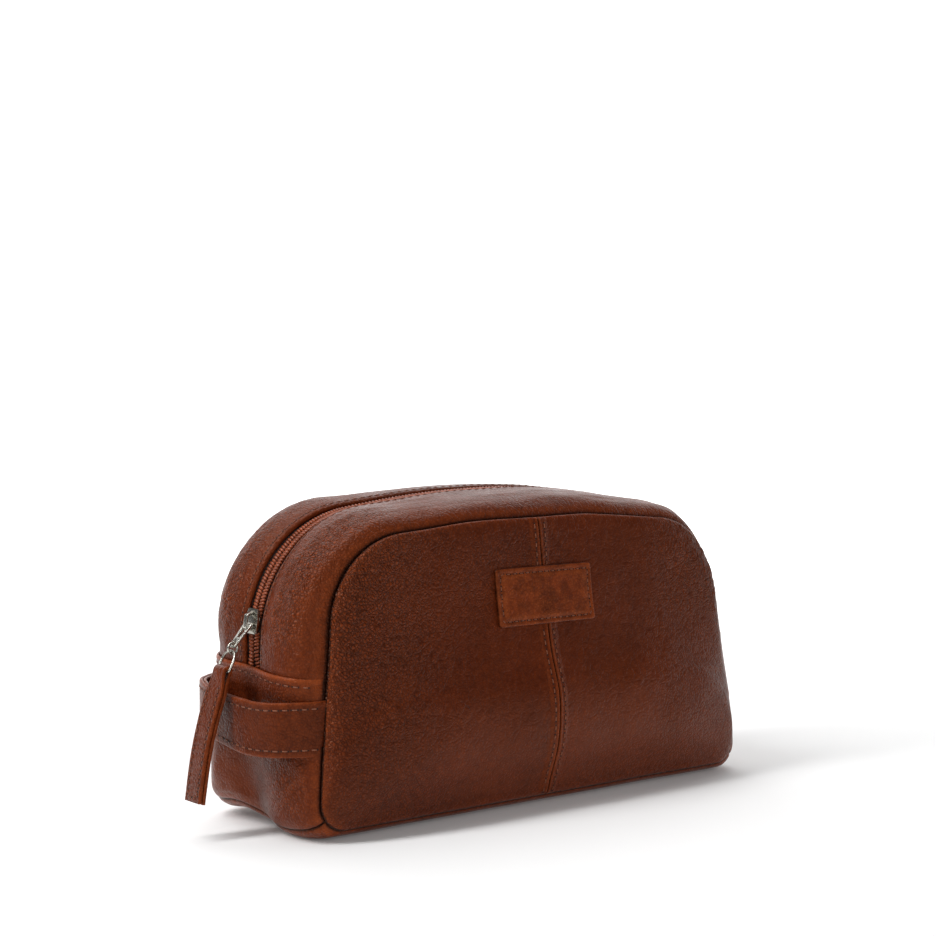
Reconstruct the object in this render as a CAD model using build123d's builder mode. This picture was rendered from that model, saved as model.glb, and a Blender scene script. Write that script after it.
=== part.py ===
"""A soft leather toiletry bag with a zip over its domed top, a carrying strap on its left end and a leather zip pull.

Millimetres, +Z up, +X along the bag, -Y its front. The origin is the middle of the flat base.
The shell is sewn from a front and a back (each in two halves), a top gusset on each side of the zip, two ends and a base.
Each shell surface is a loft of one rounded outline. It grows from the seam line to a ridge, and dips at the zip.
"""

from build123d import *
from math import acos, atan2, cos, hypot, radians, sin, sqrt, tan
import os

# ---- Driving dimensions ----------------------------------------------------------------------------------------

LEATHER = 1.6  # thickness of one layer of leather
CLOTH = 0.6  # thickness of the lining and of the zip tape
GAP = 0.1  # between pieces that lie on each other
CUT_REACH = 0.4  # how far a hollow runs out past the seam planes, so that it cuts through them
BIG = 400.0  # further out than any piece

# The outline of a section: base height, half width at the base, base corner radius,
# top corner centre (distance from the middle, height), top corner radius, height of the crown.
SEAM = dict(base=5.0, half=125.0, foot=12.0, side=74.6, rise=90.0, corner=42.0, crown=135.0)
RIDGE = dict(base=-0.6, half=132.5, foot=12.0, side=73.5, rise=83.0, corner=61.8, crown=147.4)
ZIP = dict(base=-0.6, half=132.5, foot=12.0, side=74.5, rise=83.0, corner=58.5, crown=147.0)
RIDGE_AT = 0.6  # the ridge's share of the half depth

SEAM_Y = 42.0  # from the middle to each seam plane, at the base
SEAM_LEAN = 3.3  # degrees that the front and back lean in towards the top
STATIONS = (-1.0, -0.96, -0.82, -0.6, -0.3, 0.0, 0.3, 0.6, 0.82, 0.96, 1.0)  # shares of the half depth
LINING_STATIONS = STATIONS[1:-1]

# The bulge of the front and back: (distance out of the seam plane, outline there).
BULGE = (
    (0.0, SEAM),
    (4.0, dict(base=13.0, half=121.5, foot=14.0, side=75.0, rise=74.0, corner=38.0, crown=115.0)),
    (8.0, dict(base=20.0, half=114.0, foot=17.0, side=77.0, rise=52.0, corner=27.0, crown=82.0)),
    (12.0, dict(base=30.0, half=92.0, foot=14.0, side=64.0, rise=45.0, corner=15.0, crown=62.0)),
)

BASE_SEAM_Z = 6.0  # where the ends are sewn to the base
TOP_SEAM_Z = 66.0  # where the ends of the top gussets lie under the hem
HEM_FOOT_Z, HEM_TOP_Z = 64.5, 74.0  # the folded upper edge of each end

LABEL_WIDTH, LABEL_HEIGHT, LABEL_Z = 57.0, 26.5, 98.5
POCKET_HALF_WIDTH, POCKET_FOOT_Z, POCKET_TOP_Z, POCKET_ROUND = 70.0, 30.0, 95.0, 6.0

# The zip follows its own outline, at a depth under the leather's outer face.
COIL_DEPTH = 1.9  # of the coils' centre line
COIL_HALF_HEIGHT = 1.1
COIL_INNER_Y, COIL_OUTER_Y = 0.6, 3.7
TAPE_DEPTH = 3.05
TAPE_EDGE_Y = 13.0
LIP_Y = 5.5  # the folded leather edge beside the coils
LIP_HEM_Y = 8.0
ZIP_END_Z, COIL_END_Z = 62.0, 66.0
LINING_DEPTH = TAPE_DEPTH + CLOTH + GAP
LINING_MOUTH_Y = TAPE_EDGE_Y + 3 * GAP

# The carrying strap, seen from above: its outer face runs through these corners, which are rounded.
STRAP_FOOT_Z, STRAP_TOP_Z = 38.0, 63.0
STRAP_OUT_X, STRAP_BEND_Y = -147.2, 33.0
STRAP_SEAM_X, STRAP_SEAM_Y = -117.0, 40.0
STRAP_ROUND = 20.0

# The slider. Along the zip its middle lies SLIDER_AT degrees up the left corner's arc.
ARC_X, ARC_Z = -ZIP["side"], ZIP["rise"]
ARC_RADIUS = ZIP["corner"] - COIL_DEPTH
SLIDER_AT = 9.5
SLIDER_LENGTH, SLIDER_WIDE, SLIDER_NARROW = 11.0, 9.4, 7.6
SLIDER_PLATE, SLIDER_ROUND = 1.1, 1.2
SLIDER_ROOF, SLIDER_FLOOR = 1.5, -2.4  # the plates' inner faces, from the coils' centre line
WALL_INNER_Y, WALL_FOOT, WALL_LENGTH = 4.0, -0.8, 6.0
POST_WIDTH, POST_LENGTH = 0.6, 3.0  # the post that parts the coils
CROWN_WIDTH, CROWN_THICK, CROWN_OPENING = 2.4, 1.0, 2.4  # the arched bar on the slider's back
PIVOT_BACK = 1.5  # from the slider's middle to the bar of the puller

# What hangs on the slider. Each angle is in degrees from straight down towards -X.
LINK_ANGLE, LINK_REACH, LINK_THICK = 42.0, 10.5, 1.2
LINK_WIDTH, LINK_BAR, LINK_NECK = 6.4, 1.3, 3.6  # across the bar end, of each side, across the eye end
LINK_EYE, LINK_ROUND = 1.3, 1.0
RING_ANGLE = 28.0
JUMP_RADIUS, JUMP_WIRE = 2.4, 0.5
RING_WIRE, RING_HALF_WIDTH, RING_HEIGHT, RING_ROUND = 0.6, 4.8, 9.4, 1.2
TAB_ANGLE, TAB_LENGTH, TAB_THICK = 17.0, 58.0, 3.8
TAB_NECK, TAB_WIDTH, TAB_EYE, TAB_LOOP = 7.8, 12.0, 0.9, 2.45
TAB_NECK_END, TAB_SHOULDER = 4.0, 10.0


# ---- Outlines and shells ---------------------------------------------------------------------------------------


def between(a, b, share):
    """The outline that lies that share of the way from outline a to outline b."""
    return {key: a[key] + (b[key] - a[key]) * share for key in a}


def on_circle(x, z, radius, angle):
    """The point of a circle at an angle in radians."""
    return (x + radius * cos(angle), z + radius * sin(angle))


def outline(shape, inset=0.0):
    """Draws a rounded outline as tangent lines and arcs, moved in by inset, and makes it a face."""
    foot, corner = shape["foot"] - inset, shape["corner"] - inset
    base, crown = shape["base"] + inset, shape["crown"] - inset
    foot_x, foot_z = -(shape["half"] - shape["foot"]), shape["base"] + shape["foot"]
    top_x, top_z = -shape["side"], shape["rise"]
    # The side is the line that touches both corner circles.
    run = hypot(top_x - foot_x, top_z - foot_z)
    side_turn = atan2(top_z - foot_z, top_x - foot_x) + acos((foot - corner) / run)
    # The crown is the arc that touches both top corners.
    over = crown - top_z
    crown_radius = (top_x**2 + over**2 - corner**2) / (2 * (over - corner))
    tilt = atan2(-top_x, crown_radius - over)
    straight_down, straight_up = radians(270), radians(90)
    with BuildLine() as drawn:
        base_line = Line((0, base), (foot_x, base))
        foot_arc = ThreePointArc(
            base_line @ 1,
            on_circle(foot_x, foot_z, foot, (side_turn + straight_down) / 2),
            on_circle(foot_x, foot_z, foot, side_turn),
        )
        side_line = Line(foot_arc @ 1, on_circle(top_x, top_z, corner, side_turn))
        top_arc = ThreePointArc(
            side_line @ 1,
            on_circle(top_x, top_z, corner, (side_turn + straight_up + tilt) / 2),
            on_circle(top_x, top_z, corner, straight_up + tilt),
        )
        ThreePointArc(
            top_arc @ 1,
            on_circle(0, crown - crown_radius, crown_radius, straight_up + tilt / 2),
            (0, crown),
        )
        mirror(about=Plane.YZ)
    make_face(drawn.edges())


def section_plane(share, reach=0.0):
    """The plane of a section at a share of the half depth: -1 is the front seam, 1 the back seam.

    The first and the last plane move out by the reach.
    """
    lean = radians(-SEAM_LEAN * share)
    place = SEAM_Y * share + reach * int(share)
    return Plane(origin=(0, place, 0), x_dir=(1, 0, 0), z_dir=(0, -cos(lean), sin(lean)))


def section_outline(share):
    """The outline there. It grows away from the seam quickly at first, and runs over the ridge to the zip."""
    to_ridge = min(1, abs(share) / RIDGE_AT)
    full = between(ZIP, RIDGE, to_ridge**2 * (3 - 2 * to_ridge))
    return between(SEAM, full, sqrt(1 - share**4))


def full_shape(inset, stations=STATIONS, reach=0.0):
    """All that is inside the shell's outer face, moved in by inset, between the first and last section."""
    with BuildPart() as full:
        for share in stations:
            with BuildSketch(section_plane(share, reach)):
                outline(section_outline(share), inset)
        loft()
        split(bisect_by=Plane.XY.offset(max(inset, 0)), keep=Keep.TOP)
    return full.part


def shell(outer, inner, stations=STATIONS):
    """The tube between two insets of the shell's outer face."""
    with BuildPart() as tube:
        add(full_shape(outer, stations))
        add(full_shape(inner, reach=CUT_REACH), mode=Mode.SUBTRACT)
    return tube.part


def bulge(inset):
    """All that is behind the front's outer face, moved in by inset, out from its seam plane."""
    deepest = BULGE[-1][0]
    with BuildPart() as full:
        for distance, shape in BULGE:
            with BuildSketch(section_plane(-1).offset(GAP / 2 + distance * (deepest - inset) / deepest)):
                outline(shape, inset)
        loft()
    return full.part


def arch(outer, inner, y0, y1, foot_z=ZIP_END_Z):
    """A strip over the top of the bag that follows the zip's outline between two depths."""
    with BuildPart() as strip:
        with BuildSketch(Plane.XZ.offset(-y1)):
            outline(ZIP, outer)
        extrude(amount=y1 - y0)
        with BuildSketch(Plane.XZ.offset(-y1)):
            outline(ZIP, inner)
        extrude(amount=y1 - y0, mode=Mode.SUBTRACT)
        split(bisect_by=Plane.XY.offset(foot_z), keep=Keep.TOP)
    return strip.part


def keep_only(x=(-BIG, BIG), y=(-BIG, BIG), z=(-BIG, BIG)):
    """Cuts off all of the piece being built that is outside these limits."""
    with Locations(((x[0] + x[1]) / 2, (y[0] + y[1]) / 2, (z[0] + z[1]) / 2)):
        Box(x[1] - x[0], y[1] - y[0], z[1] - z[0], mode=Mode.INTERSECT)


def finish(piece, name):
    """Labels a finished piece and writes it to its own file."""
    piece.part.label = name
    export_step(piece.part, f"parts/{name}.step")


def finish_pair(piece, name, about, other_name):
    """Finishes a piece and its mirror image."""
    finish(piece, name)
    with BuildPart() as other:
        mirror(piece.part, about=about)
    finish(other, other_name)


os.makedirs("parts", exist_ok=True)

# ---- Front and back, each in two halves sewn along the middle ---------------------------------------------------

for side, x_limits in (("left", (-BIG, -GAP / 2)), ("right", (GAP / 2, BIG))):
    with BuildPart() as front_panel:
        add(bulge(0))
        add(bulge(LEATHER), mode=Mode.SUBTRACT)
        keep_only(x=x_limits)
    finish_pair(front_panel, f"front_panel_{side}", Plane.XZ, f"back_panel_{side}")

with BuildPart() as label_patch:
    add(bulge(-LEATHER - GAP))
    add(bulge(-GAP), mode=Mode.SUBTRACT)
    keep_only(
        x=(-LABEL_WIDTH / 2, LABEL_WIDTH / 2),
        z=(LABEL_Z - LABEL_HEIGHT / 2, LABEL_Z + LABEL_HEIGHT / 2),
    )
finish(label_patch, "label_patch")

# ---- Top gussets, ends and base --------------------------------------------------------------------------------

leather_shell = shell(0, LEATHER)

# Beside the zip the leather's edge is folded under, down to the tape.
with BuildPart() as top_gusset_front:
    add(leather_shell)
    add(arch(LEATHER / 4, TAPE_DEPTH - GAP / 2, -LIP_HEM_Y, 0))
    keep_only(y=(-BIG, -LIP_Y), z=(TOP_SEAM_Z + GAP, BIG))
finish_pair(top_gusset_front, "top_gusset_front", Plane.XZ, "top_gusset_rear")


def end_band(outer, inner, low, high):
    """A band around the left end, between two insets and two heights."""
    with BuildPart() as band:
        add(shell(outer, inner))
        keep_only(x=(-BIG, 0), z=(low, high))
    return band.part


# The end's upper edge lies over the top gussets, and is folded to twice the thickness.
with BuildPart() as end_panel_left:
    add(end_band(0, LEATHER, BASE_SEAM_Z + GAP, HEM_FOOT_Z))
    add(end_band(-LEATHER, LEATHER, HEM_FOOT_Z, TOP_SEAM_Z))
    add(end_band(-LEATHER, -GAP, TOP_SEAM_Z, HEM_TOP_Z))
finish_pair(end_panel_left, "end_panel_left", Plane.YZ, "end_panel_right")

with BuildPart() as bottom_panel:
    add(leather_shell)
    keep_only(z=(0, BASE_SEAM_Z))
finish(bottom_panel, "bottom_panel")

# ---- The carrying strap: two layers of leather sewn together, held in the front and back seams -------------------

seam_top_y = SEAM_Y - BIG * tan(radians(SEAM_LEAN))
with BuildPart() as between_seams:
    with BuildSketch(Plane.YZ):
        with BuildLine():
            Polyline((-SEAM_Y, 0), (SEAM_Y, 0), (seam_top_y, BIG), (-seam_top_y, BIG), close=True)
        make_face()
    extrude(amount=BIG, both=True)
beside_the_bag = full_shape(-GAP, reach=CUT_REACH)


def strap_layer(outer, inner):
    """One layer of the strap, between two distances in from its outer face."""
    with BuildPart() as band:
        for depth, mode in ((outer, Mode.ADD), (inner, Mode.SUBTRACT)):
            with BuildSketch(Plane.XY.offset(STRAP_FOOT_Z)):
                with BuildLine():
                    FilletPolyline(
                        (0, -STRAP_SEAM_Y + depth),
                        (STRAP_SEAM_X + depth, -STRAP_SEAM_Y + depth),
                        (STRAP_OUT_X + depth, -STRAP_BEND_Y + depth),
                        (STRAP_OUT_X + depth, STRAP_BEND_Y - depth),
                        (STRAP_SEAM_X + depth, STRAP_SEAM_Y - depth),
                        (0, STRAP_SEAM_Y - depth),
                        radius=STRAP_ROUND - depth,
                        close=True,
                    )
                make_face()
            extrude(amount=STRAP_TOP_Z - STRAP_FOOT_Z, mode=mode)
        add(between_seams.part, mode=Mode.INTERSECT)
        add(beside_the_bag, mode=Mode.SUBTRACT)
        keep_only(x=(-BIG, STRAP_SEAM_X - 1))
    return band


finish(strap_layer(0, LEATHER), "handle_strap")
finish(strap_layer(LEATHER + GAP / 2, 2 * LEATHER), "handle_strap_backing")

# ---- Zip tapes, coils and end stops ----------------------------------------------------------------------------

with BuildPart() as zipper_tape_front:
    add(arch(TAPE_DEPTH, TAPE_DEPTH + CLOTH, -TAPE_EDGE_Y, -COIL_INNER_Y - GAP))
finish_pair(zipper_tape_front, "zipper_tape_front", Plane.XZ, "zipper_tape_rear")

coil_top, coil_foot = COIL_DEPTH - COIL_HALF_HEIGHT, COIL_DEPTH + COIL_HALF_HEIGHT
with BuildPart() as zipper_coil_front:
    add(arch(coil_top, coil_foot, -COIL_OUTER_Y, -COIL_INNER_Y, COIL_END_Z))
finish_pair(zipper_coil_front, "zipper_coil_front", Plane.XZ, "zipper_coil_rear")

# On the left each coil has its own stop, and on the right one stop holds both.
stop_band = arch(LEATHER + GAP, coil_foot, -COIL_OUTER_Y, COIL_OUTER_Y)
with BuildPart() as zipper_top_stops:
    add(stop_band)
    keep_only(x=(-BIG, 0), z=(ZIP_END_Z, COIL_END_Z - GAP))
    Box(2 * BIG, 2 * COIL_INNER_Y, 2 * BIG, mode=Mode.SUBTRACT)
finish(zipper_top_stops, "zipper_top_stops")
with BuildPart() as zipper_bottom_stop:
    add(stop_band)
    keep_only(x=(0, BIG), z=(ZIP_END_Z, COIL_END_Z - GAP))
finish(zipper_bottom_stop, "zipper_bottom_stop")

# ---- Lining and its pocket -------------------------------------------------------------------------------------

lining_tube = shell(LINING_DEPTH, LINING_DEPTH + CLOTH, LINING_STATIONS)
with BuildPart() as lining_top_front:
    add(lining_tube)
    keep_only(y=(-BIG, -LINING_MOUTH_Y), z=(ZIP_END_Z, BIG))
finish_pair(lining_top_front, "lining_top_front", Plane.XZ, "lining_top_rear")
with BuildPart() as lining_base_and_ends:
    add(lining_tube)
    keep_only(z=(-BIG, ZIP_END_Z - GAP))
finish(lining_base_and_ends, "lining_base_and_ends")

with BuildPart() as lining_front:
    with BuildSketch(section_plane(-1).offset(-CLOTH - 2 * GAP)):
        outline(SEAM, LEATHER + 4 * GAP)
    extrude(amount=-CLOTH)
finish_pair(lining_front, "lining_front", Plane.XZ, "lining_back")

with BuildPart() as inner_pocket:
    with BuildSketch(section_plane(1).offset(2 * CLOTH + 3 * GAP)):
        with Locations((0, (POCKET_FOOT_Z + POCKET_TOP_Z) / 2)):
            RectangleRounded(2 * POCKET_HALF_WIDTH, POCKET_TOP_Z - POCKET_FOOT_Z, POCKET_ROUND)
    extrude(amount=CLOTH)
finish(inner_pocket, "inner_pocket")

# ---- The slider ------------------------------------------------------------------------------------------------


def direction(angle):
    """A unit vector in the XZ plane, at an angle from straight down towards -X."""
    return Vector(-sin(radians(angle)), 0, -cos(radians(angle)))


def swing_plane(point, angle):
    """The plane through a point whose X runs along a direction, and whose Y is the row's Y."""
    return Plane(origin=point, x_dir=direction(angle), z_dir=direction(angle + 90))


def across_plane(point):
    """The plane through a point that looks along the axes that the hanging pieces swing about."""
    return Plane(origin=point, x_dir=(1, 0, 0), z_dir=(0, 1, 0))


outward = direction(90 + SLIDER_AT)
slider_at = Vector(ARC_X, 0, ARC_Z) + outward * ARC_RADIUS
# On this plane X runs up along the zip and Z points out of the bag.
slider_plane = Plane(origin=slider_at, x_dir=direction(180 + SLIDER_AT), z_dir=outward)
half_length = SLIDER_LENGTH / 2
roof_top = SLIDER_ROOF + SLIDER_PLATE
crown_top = roof_top + CROWN_OPENING + CROWN_THICK

with BuildPart() as slider_body:
    for level, thick in ((SLIDER_ROOF, SLIDER_PLATE), (SLIDER_FLOOR, -SLIDER_PLATE)):
        with BuildSketch(slider_plane.offset(level)) as plate:
            with BuildLine():
                Polyline(
                    (half_length, -SLIDER_NARROW / 2),
                    (half_length, SLIDER_NARROW / 2),
                    (0, SLIDER_WIDE / 2),
                    (-half_length, SLIDER_WIDE / 2),
                    (-half_length, -SLIDER_WIDE / 2),
                    (0, -SLIDER_WIDE / 2),
                    close=True,
                )
            make_face()
            fillet(plate.vertices(), SLIDER_ROUND)
        extrude(amount=thick)
    # The side walls hold the coils in.
    with BuildSketch(slider_plane.offset(SLIDER_ROOF)):
        for side in (-1, 1):
            with Locations((-1.2, side * (SLIDER_WIDE / 2 + WALL_INNER_Y) / 2)):
                Rectangle(WALL_LENGTH, SLIDER_WIDE / 2 - WALL_INNER_Y)
    extrude(amount=WALL_FOOT - SLIDER_ROOF)
    # The post joins the plates.
    with BuildSketch(slider_plane.offset(SLIDER_FLOOR)):
        with Locations((-half_length + 0.7 + POST_LENGTH / 2, 0)):
            SlotOverall(POST_LENGTH, POST_WIDTH)
    extrude(amount=SLIDER_ROOF - SLIDER_FLOOR)
finish(slider_body, "slider_body")

side_view = Plane(origin=slider_at, x_dir=slider_plane.x_dir, z_dir=(0, -1, 0))
with BuildPart() as slider_crown:
    with BuildSketch(side_view) as arched:
        with BuildLine():
            Polyline(
                (-half_length + 1.0, roof_top),
                (-half_length + 1.6, crown_top),
                (2.6, crown_top),
                (half_length - 0.8, roof_top),
                close=True,
            )
        make_face()
        fillet(arched.vertices().group_by(Axis.Y)[-1], 1.4)
        with BuildLine():
            Polyline(
                (-half_length + 2.3, roof_top),
                (-half_length + 2.6, crown_top - CROWN_THICK),
                (1.6, crown_top - CROWN_THICK),
                (2.8, roof_top),
                close=True,
            )
        make_face(mode=Mode.SUBTRACT)
    extrude(amount=CROWN_WIDTH / 2, both=True)
finish(slider_crown, "slider_crown")

# ---- The puller, its rings and the leather pull ----------------------------------------------------------------

pivot = slider_plane.from_local_coords(Vector(-PIVOT_BACK, 0, roof_top + CROWN_OPENING / 2))
link_eye = pivot + direction(LINK_ANGLE) * LINK_REACH
with BuildPart() as puller_link:
    with BuildSketch(swing_plane(pivot, LINK_ANGLE).offset(-LINK_THICK / 2)) as frame:
        half, neck = LINK_WIDTH / 2, LINK_NECK / 2
        with BuildLine():
            Polyline(
                (-LINK_THICK / 2, -half),
                (-LINK_THICK / 2, half),
                (LINK_REACH - 2.0, neck + 0.5),
                (LINK_REACH + LINK_EYE + 1, neck),
                (LINK_REACH + LINK_EYE + 1, -neck),
                (LINK_REACH - 2.0, -neck - 0.5),
                close=True,
            )
        make_face()
        fillet(frame.vertices(), LINK_ROUND)
        with BuildLine():
            Polyline(
                (LINK_THICK / 2, LINK_BAR - half),
                (LINK_THICK / 2, half - LINK_BAR),
                (LINK_REACH - 3.0, half - 2.1),
                (LINK_REACH - 3.0, 2.1 - half),
                close=True,
            )
        make_face(mode=Mode.SUBTRACT)
        with Locations((LINK_REACH, 0)):
            Circle(LINK_EYE, mode=Mode.SUBTRACT)
    extrude(amount=LINK_THICK)
finish(puller_link, "puller_link")

jump_centre = link_eye + direction(RING_ANGLE) * JUMP_RADIUS
with BuildPart(across_plane(jump_centre)) as jump_ring:
    Torus(JUMP_RADIUS, JUMP_WIRE)
finish(jump_ring, "jump_ring")

# The pull ring is a half circle that ends in a straight bar with rounded corners.
ring_top = jump_centre + direction(RING_ANGLE) * (JUMP_RADIUS - JUMP_WIRE - RING_WIRE - GAP)
bar_corner = RING_HEIGHT - RING_ROUND
with BuildPart() as pull_ring:
    with BuildLine(swing_plane(ring_top, RING_ANGLE)) as ring_path:
        crown_arc = ThreePointArc(
            (RING_HALF_WIDTH, RING_HALF_WIDTH), (0, 0), (RING_HALF_WIDTH, -RING_HALF_WIDTH)
        )
        first_side = Line(crown_arc @ 1, (bar_corner, -RING_HALF_WIDTH))
        first_corner = RadiusArc(
            first_side @ 1, (RING_HEIGHT, -RING_HALF_WIDTH + RING_ROUND), -RING_ROUND
        )
        bar = Line(first_corner @ 1, (RING_HEIGHT, RING_HALF_WIDTH - RING_ROUND))
        second_corner = RadiusArc(bar @ 1, (bar_corner, RING_HALF_WIDTH), -RING_ROUND)
        Line(second_corner @ 1, crown_arc @ 0)
    with BuildSketch(Plane(origin=crown_arc @ 0, z_dir=crown_arc % 0)):
        Circle(RING_WIRE)
    sweep()
finish(pull_ring, "pull_ring")

tab_eye = ring_top + direction(RING_ANGLE) * RING_HEIGHT
with BuildPart() as pull_tab:
    with BuildSketch(swing_plane(tab_eye, TAB_ANGLE).offset(-TAB_THICK / 2)):
        with BuildLine():
            Polyline(
                (0, -TAB_NECK / 2),
                (0, TAB_NECK / 2),
                (TAB_NECK_END, TAB_NECK / 2),
                (TAB_SHOULDER, TAB_WIDTH / 2),
                (TAB_LENGTH, TAB_WIDTH / 2),
                (TAB_LENGTH, -TAB_WIDTH / 2),
                (TAB_SHOULDER, -TAB_WIDTH / 2),
                (TAB_NECK_END, -TAB_NECK / 2),
                close=True,
            )
        make_face()
    extrude(amount=TAB_THICK)
    # The leather turns back over the ring's bar.
    with BuildSketch(across_plane(tab_eye)):
        Circle(TAB_LOOP)
    extrude(amount=TAB_NECK / 2, both=True)
    with BuildSketch(across_plane(tab_eye)):
        Circle(TAB_EYE)
    extrude(amount=TAB_NECK, both=True, mode=Mode.SUBTRACT)
finish(pull_tab, "pull_tab")

for name, point in (("corner arc", Vector(ARC_X, 0, ARC_Z)), ("puller", pivot), ("rings", link_eye), ("pull", tab_eye)):
    print("hinge of the", name, [round(value, 3) for value in point])
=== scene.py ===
"""The looks of the leather toiletry bag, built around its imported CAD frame.

Shapes are worked out in millimetres, in the frame's own axes, and turned into metres when a mesh is made.
The bag's shell is one surface: shell(path, share, inset). Path runs round half of a section, from the
middle of the base, up the end and over to the middle of the crown. Share runs across the depth, -1 at the
front seam and 1 at the back seam. Inset is the depth under the leather's outer face.
"""

import itertools
import math

import bmesh
import bpy
import numpy as np
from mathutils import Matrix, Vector
from mathutils.bvhtree import BVHTree


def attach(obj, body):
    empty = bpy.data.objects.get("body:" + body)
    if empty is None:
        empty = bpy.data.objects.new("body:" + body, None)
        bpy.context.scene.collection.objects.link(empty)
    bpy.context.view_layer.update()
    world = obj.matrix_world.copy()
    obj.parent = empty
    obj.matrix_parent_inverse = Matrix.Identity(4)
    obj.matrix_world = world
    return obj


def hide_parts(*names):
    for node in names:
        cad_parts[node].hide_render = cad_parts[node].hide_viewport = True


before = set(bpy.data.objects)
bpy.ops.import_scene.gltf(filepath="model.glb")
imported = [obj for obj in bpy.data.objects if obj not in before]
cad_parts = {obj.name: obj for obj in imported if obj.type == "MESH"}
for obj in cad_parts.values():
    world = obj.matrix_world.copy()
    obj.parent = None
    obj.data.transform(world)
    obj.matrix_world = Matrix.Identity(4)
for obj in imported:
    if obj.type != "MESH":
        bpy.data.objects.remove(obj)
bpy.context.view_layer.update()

MM = 0.001


def place(name, data, at=(0, 0, 0), turn=(0, 0, 0)):
    """Puts a new object with this data in the scene."""
    thing = bpy.data.objects.new(name, data)
    thing.location, thing.rotation_euler = at, turn
    bpy.context.scene.collection.objects.link(thing)
    return thing


# ---- Camera --------------------------------------------------------------------------------------

CAMERA_AT = (-0.58078, -0.72147, 0.20581)
CAMERA_HEADING = 38.243  # degrees from +Y towards +X
CAMERA_PITCH = -3.119
CAMERA_LENS = 74.57

camera_data = bpy.data.cameras.new("camera")
camera_data.sensor_width = 36
camera_data.lens = CAMERA_LENS
camera_turn = (math.radians(90 + CAMERA_PITCH), 0, math.radians(-CAMERA_HEADING))
bpy.context.scene.camera = place("camera", camera_data, CAMERA_AT, camera_turn)

# ---- The bag's outlines, in millimetres ----------------------------------------------------------

SEAM = dict(base=5.0, half=125.0, foot=12.0, side=74.6, rise=90.0, corner=42.0, crown=135.0)
RIDGE = dict(base=-0.6, half=132.5, foot=12.0, side=73.5, rise=83.0, corner=61.8, crown=147.4)
ZIP = dict(base=-0.6, half=132.5, foot=12.0, side=74.5, rise=83.0, corner=58.5, crown=147.0)
RIDGE_AT = 0.6
SEAM_Y = 42.0
SEAM_LEAN = 3.3
SEAM_GAP = 0.36  # from the seam plane to the leather on each side of it
NEAR_SEAM = 1 - SEAM_GAP / SEAM_Y

STRETCHES = (118.0, 19.0, 72.0, 90.0, 72.0)  # nominal lengths: base, foot, side, corner, crown
STRETCH_ENDS = np.cumsum(STRETCHES)
FOOT_PATH, SIDE_PATH, CORNER_PATH, CROWN_PATH, END_PATH = STRETCH_ENDS  # where each next stretch starts
BASE_SEAM_PATH = 129.0  # where the end is sewn to the base

# The front's outline at shares from its seam (0) to its fullest line (1), and how far out it stands.
FACE_STATIONS = (0.0, 0.25, 0.5, 0.75, 1.0)
FACE = dict(
    base=(5.0, 13.0, 20.0, 30.0, 47.0),
    half=(125.0, 121.5, 114.0, 92.0, 50.0),
    foot=(12.0, 14.0, 17.0, 14.0, 0.0),
    side=(74.6, 75.0, 77.0, 64.0, 50.0),
    rise=(90.0, 74.0, 52.0, 45.0, 47.0),
    corner=(42.0, 38.0, 27.0, 15.0, 0.0),
    crown=(135.0, 115.0, 82.0, 62.0, 47.0),
)
FACE_OUT = (0.0, 3.0, 6.0, 9.8, 11.6, 10.0)  # the last is past the fullest line, where it falls again

LIP_Y = {-1: 6.5, 1: 5.7}  # the folded edge beside the coils, at the front and at the back
COIL_DEPTH = 1.5
COIL_Y = 2.0

# Laps at which the strips that run over the top start, at the left end, and how far the fine rows reach.
GUSSET_FROM, FINE_TO = 180.0, 330.0
TAPE_FROM, COIL_FROM = 188.0, 192.5
LIP_STITCHES_FROM = 196.0
LINING_TOP_FROM, LINING_BASE_TO = 190.0, 187.0

HEM_Z, HEM_RISE = 73.4, 2.2  # height of the ends' folded edge in the middle, and its rise to the back
STRAP_FOOT_Z, STRAP_TOP_Z = 38.6, 62.2


def smooth(x, low, high):
    """0 below low, 1 above high, and a smooth rise between them."""
    t = np.clip((x - low) / (high - low), 0, 1)
    return t * t * (3 - 2 * t)


def bump(x, middle, width):
    """A bell of height 1 around the middle."""
    return np.exp(-(((x - middle) / width) ** 2))


def between(a, b, t):
    return {key: a[key] + (b[key] - a[key]) * t for key in a}


def section(share):
    """The outline at a share of the half depth: from the seam it grows to a ridge, and dips at the zip."""
    full = between(ZIP, RIDGE, smooth(np.abs(share), 0, RIDGE_AT))
    return between(SEAM, full, np.sqrt(np.maximum(1 - np.abs(share / NEAR_SEAM) ** 4, 0)))


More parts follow.
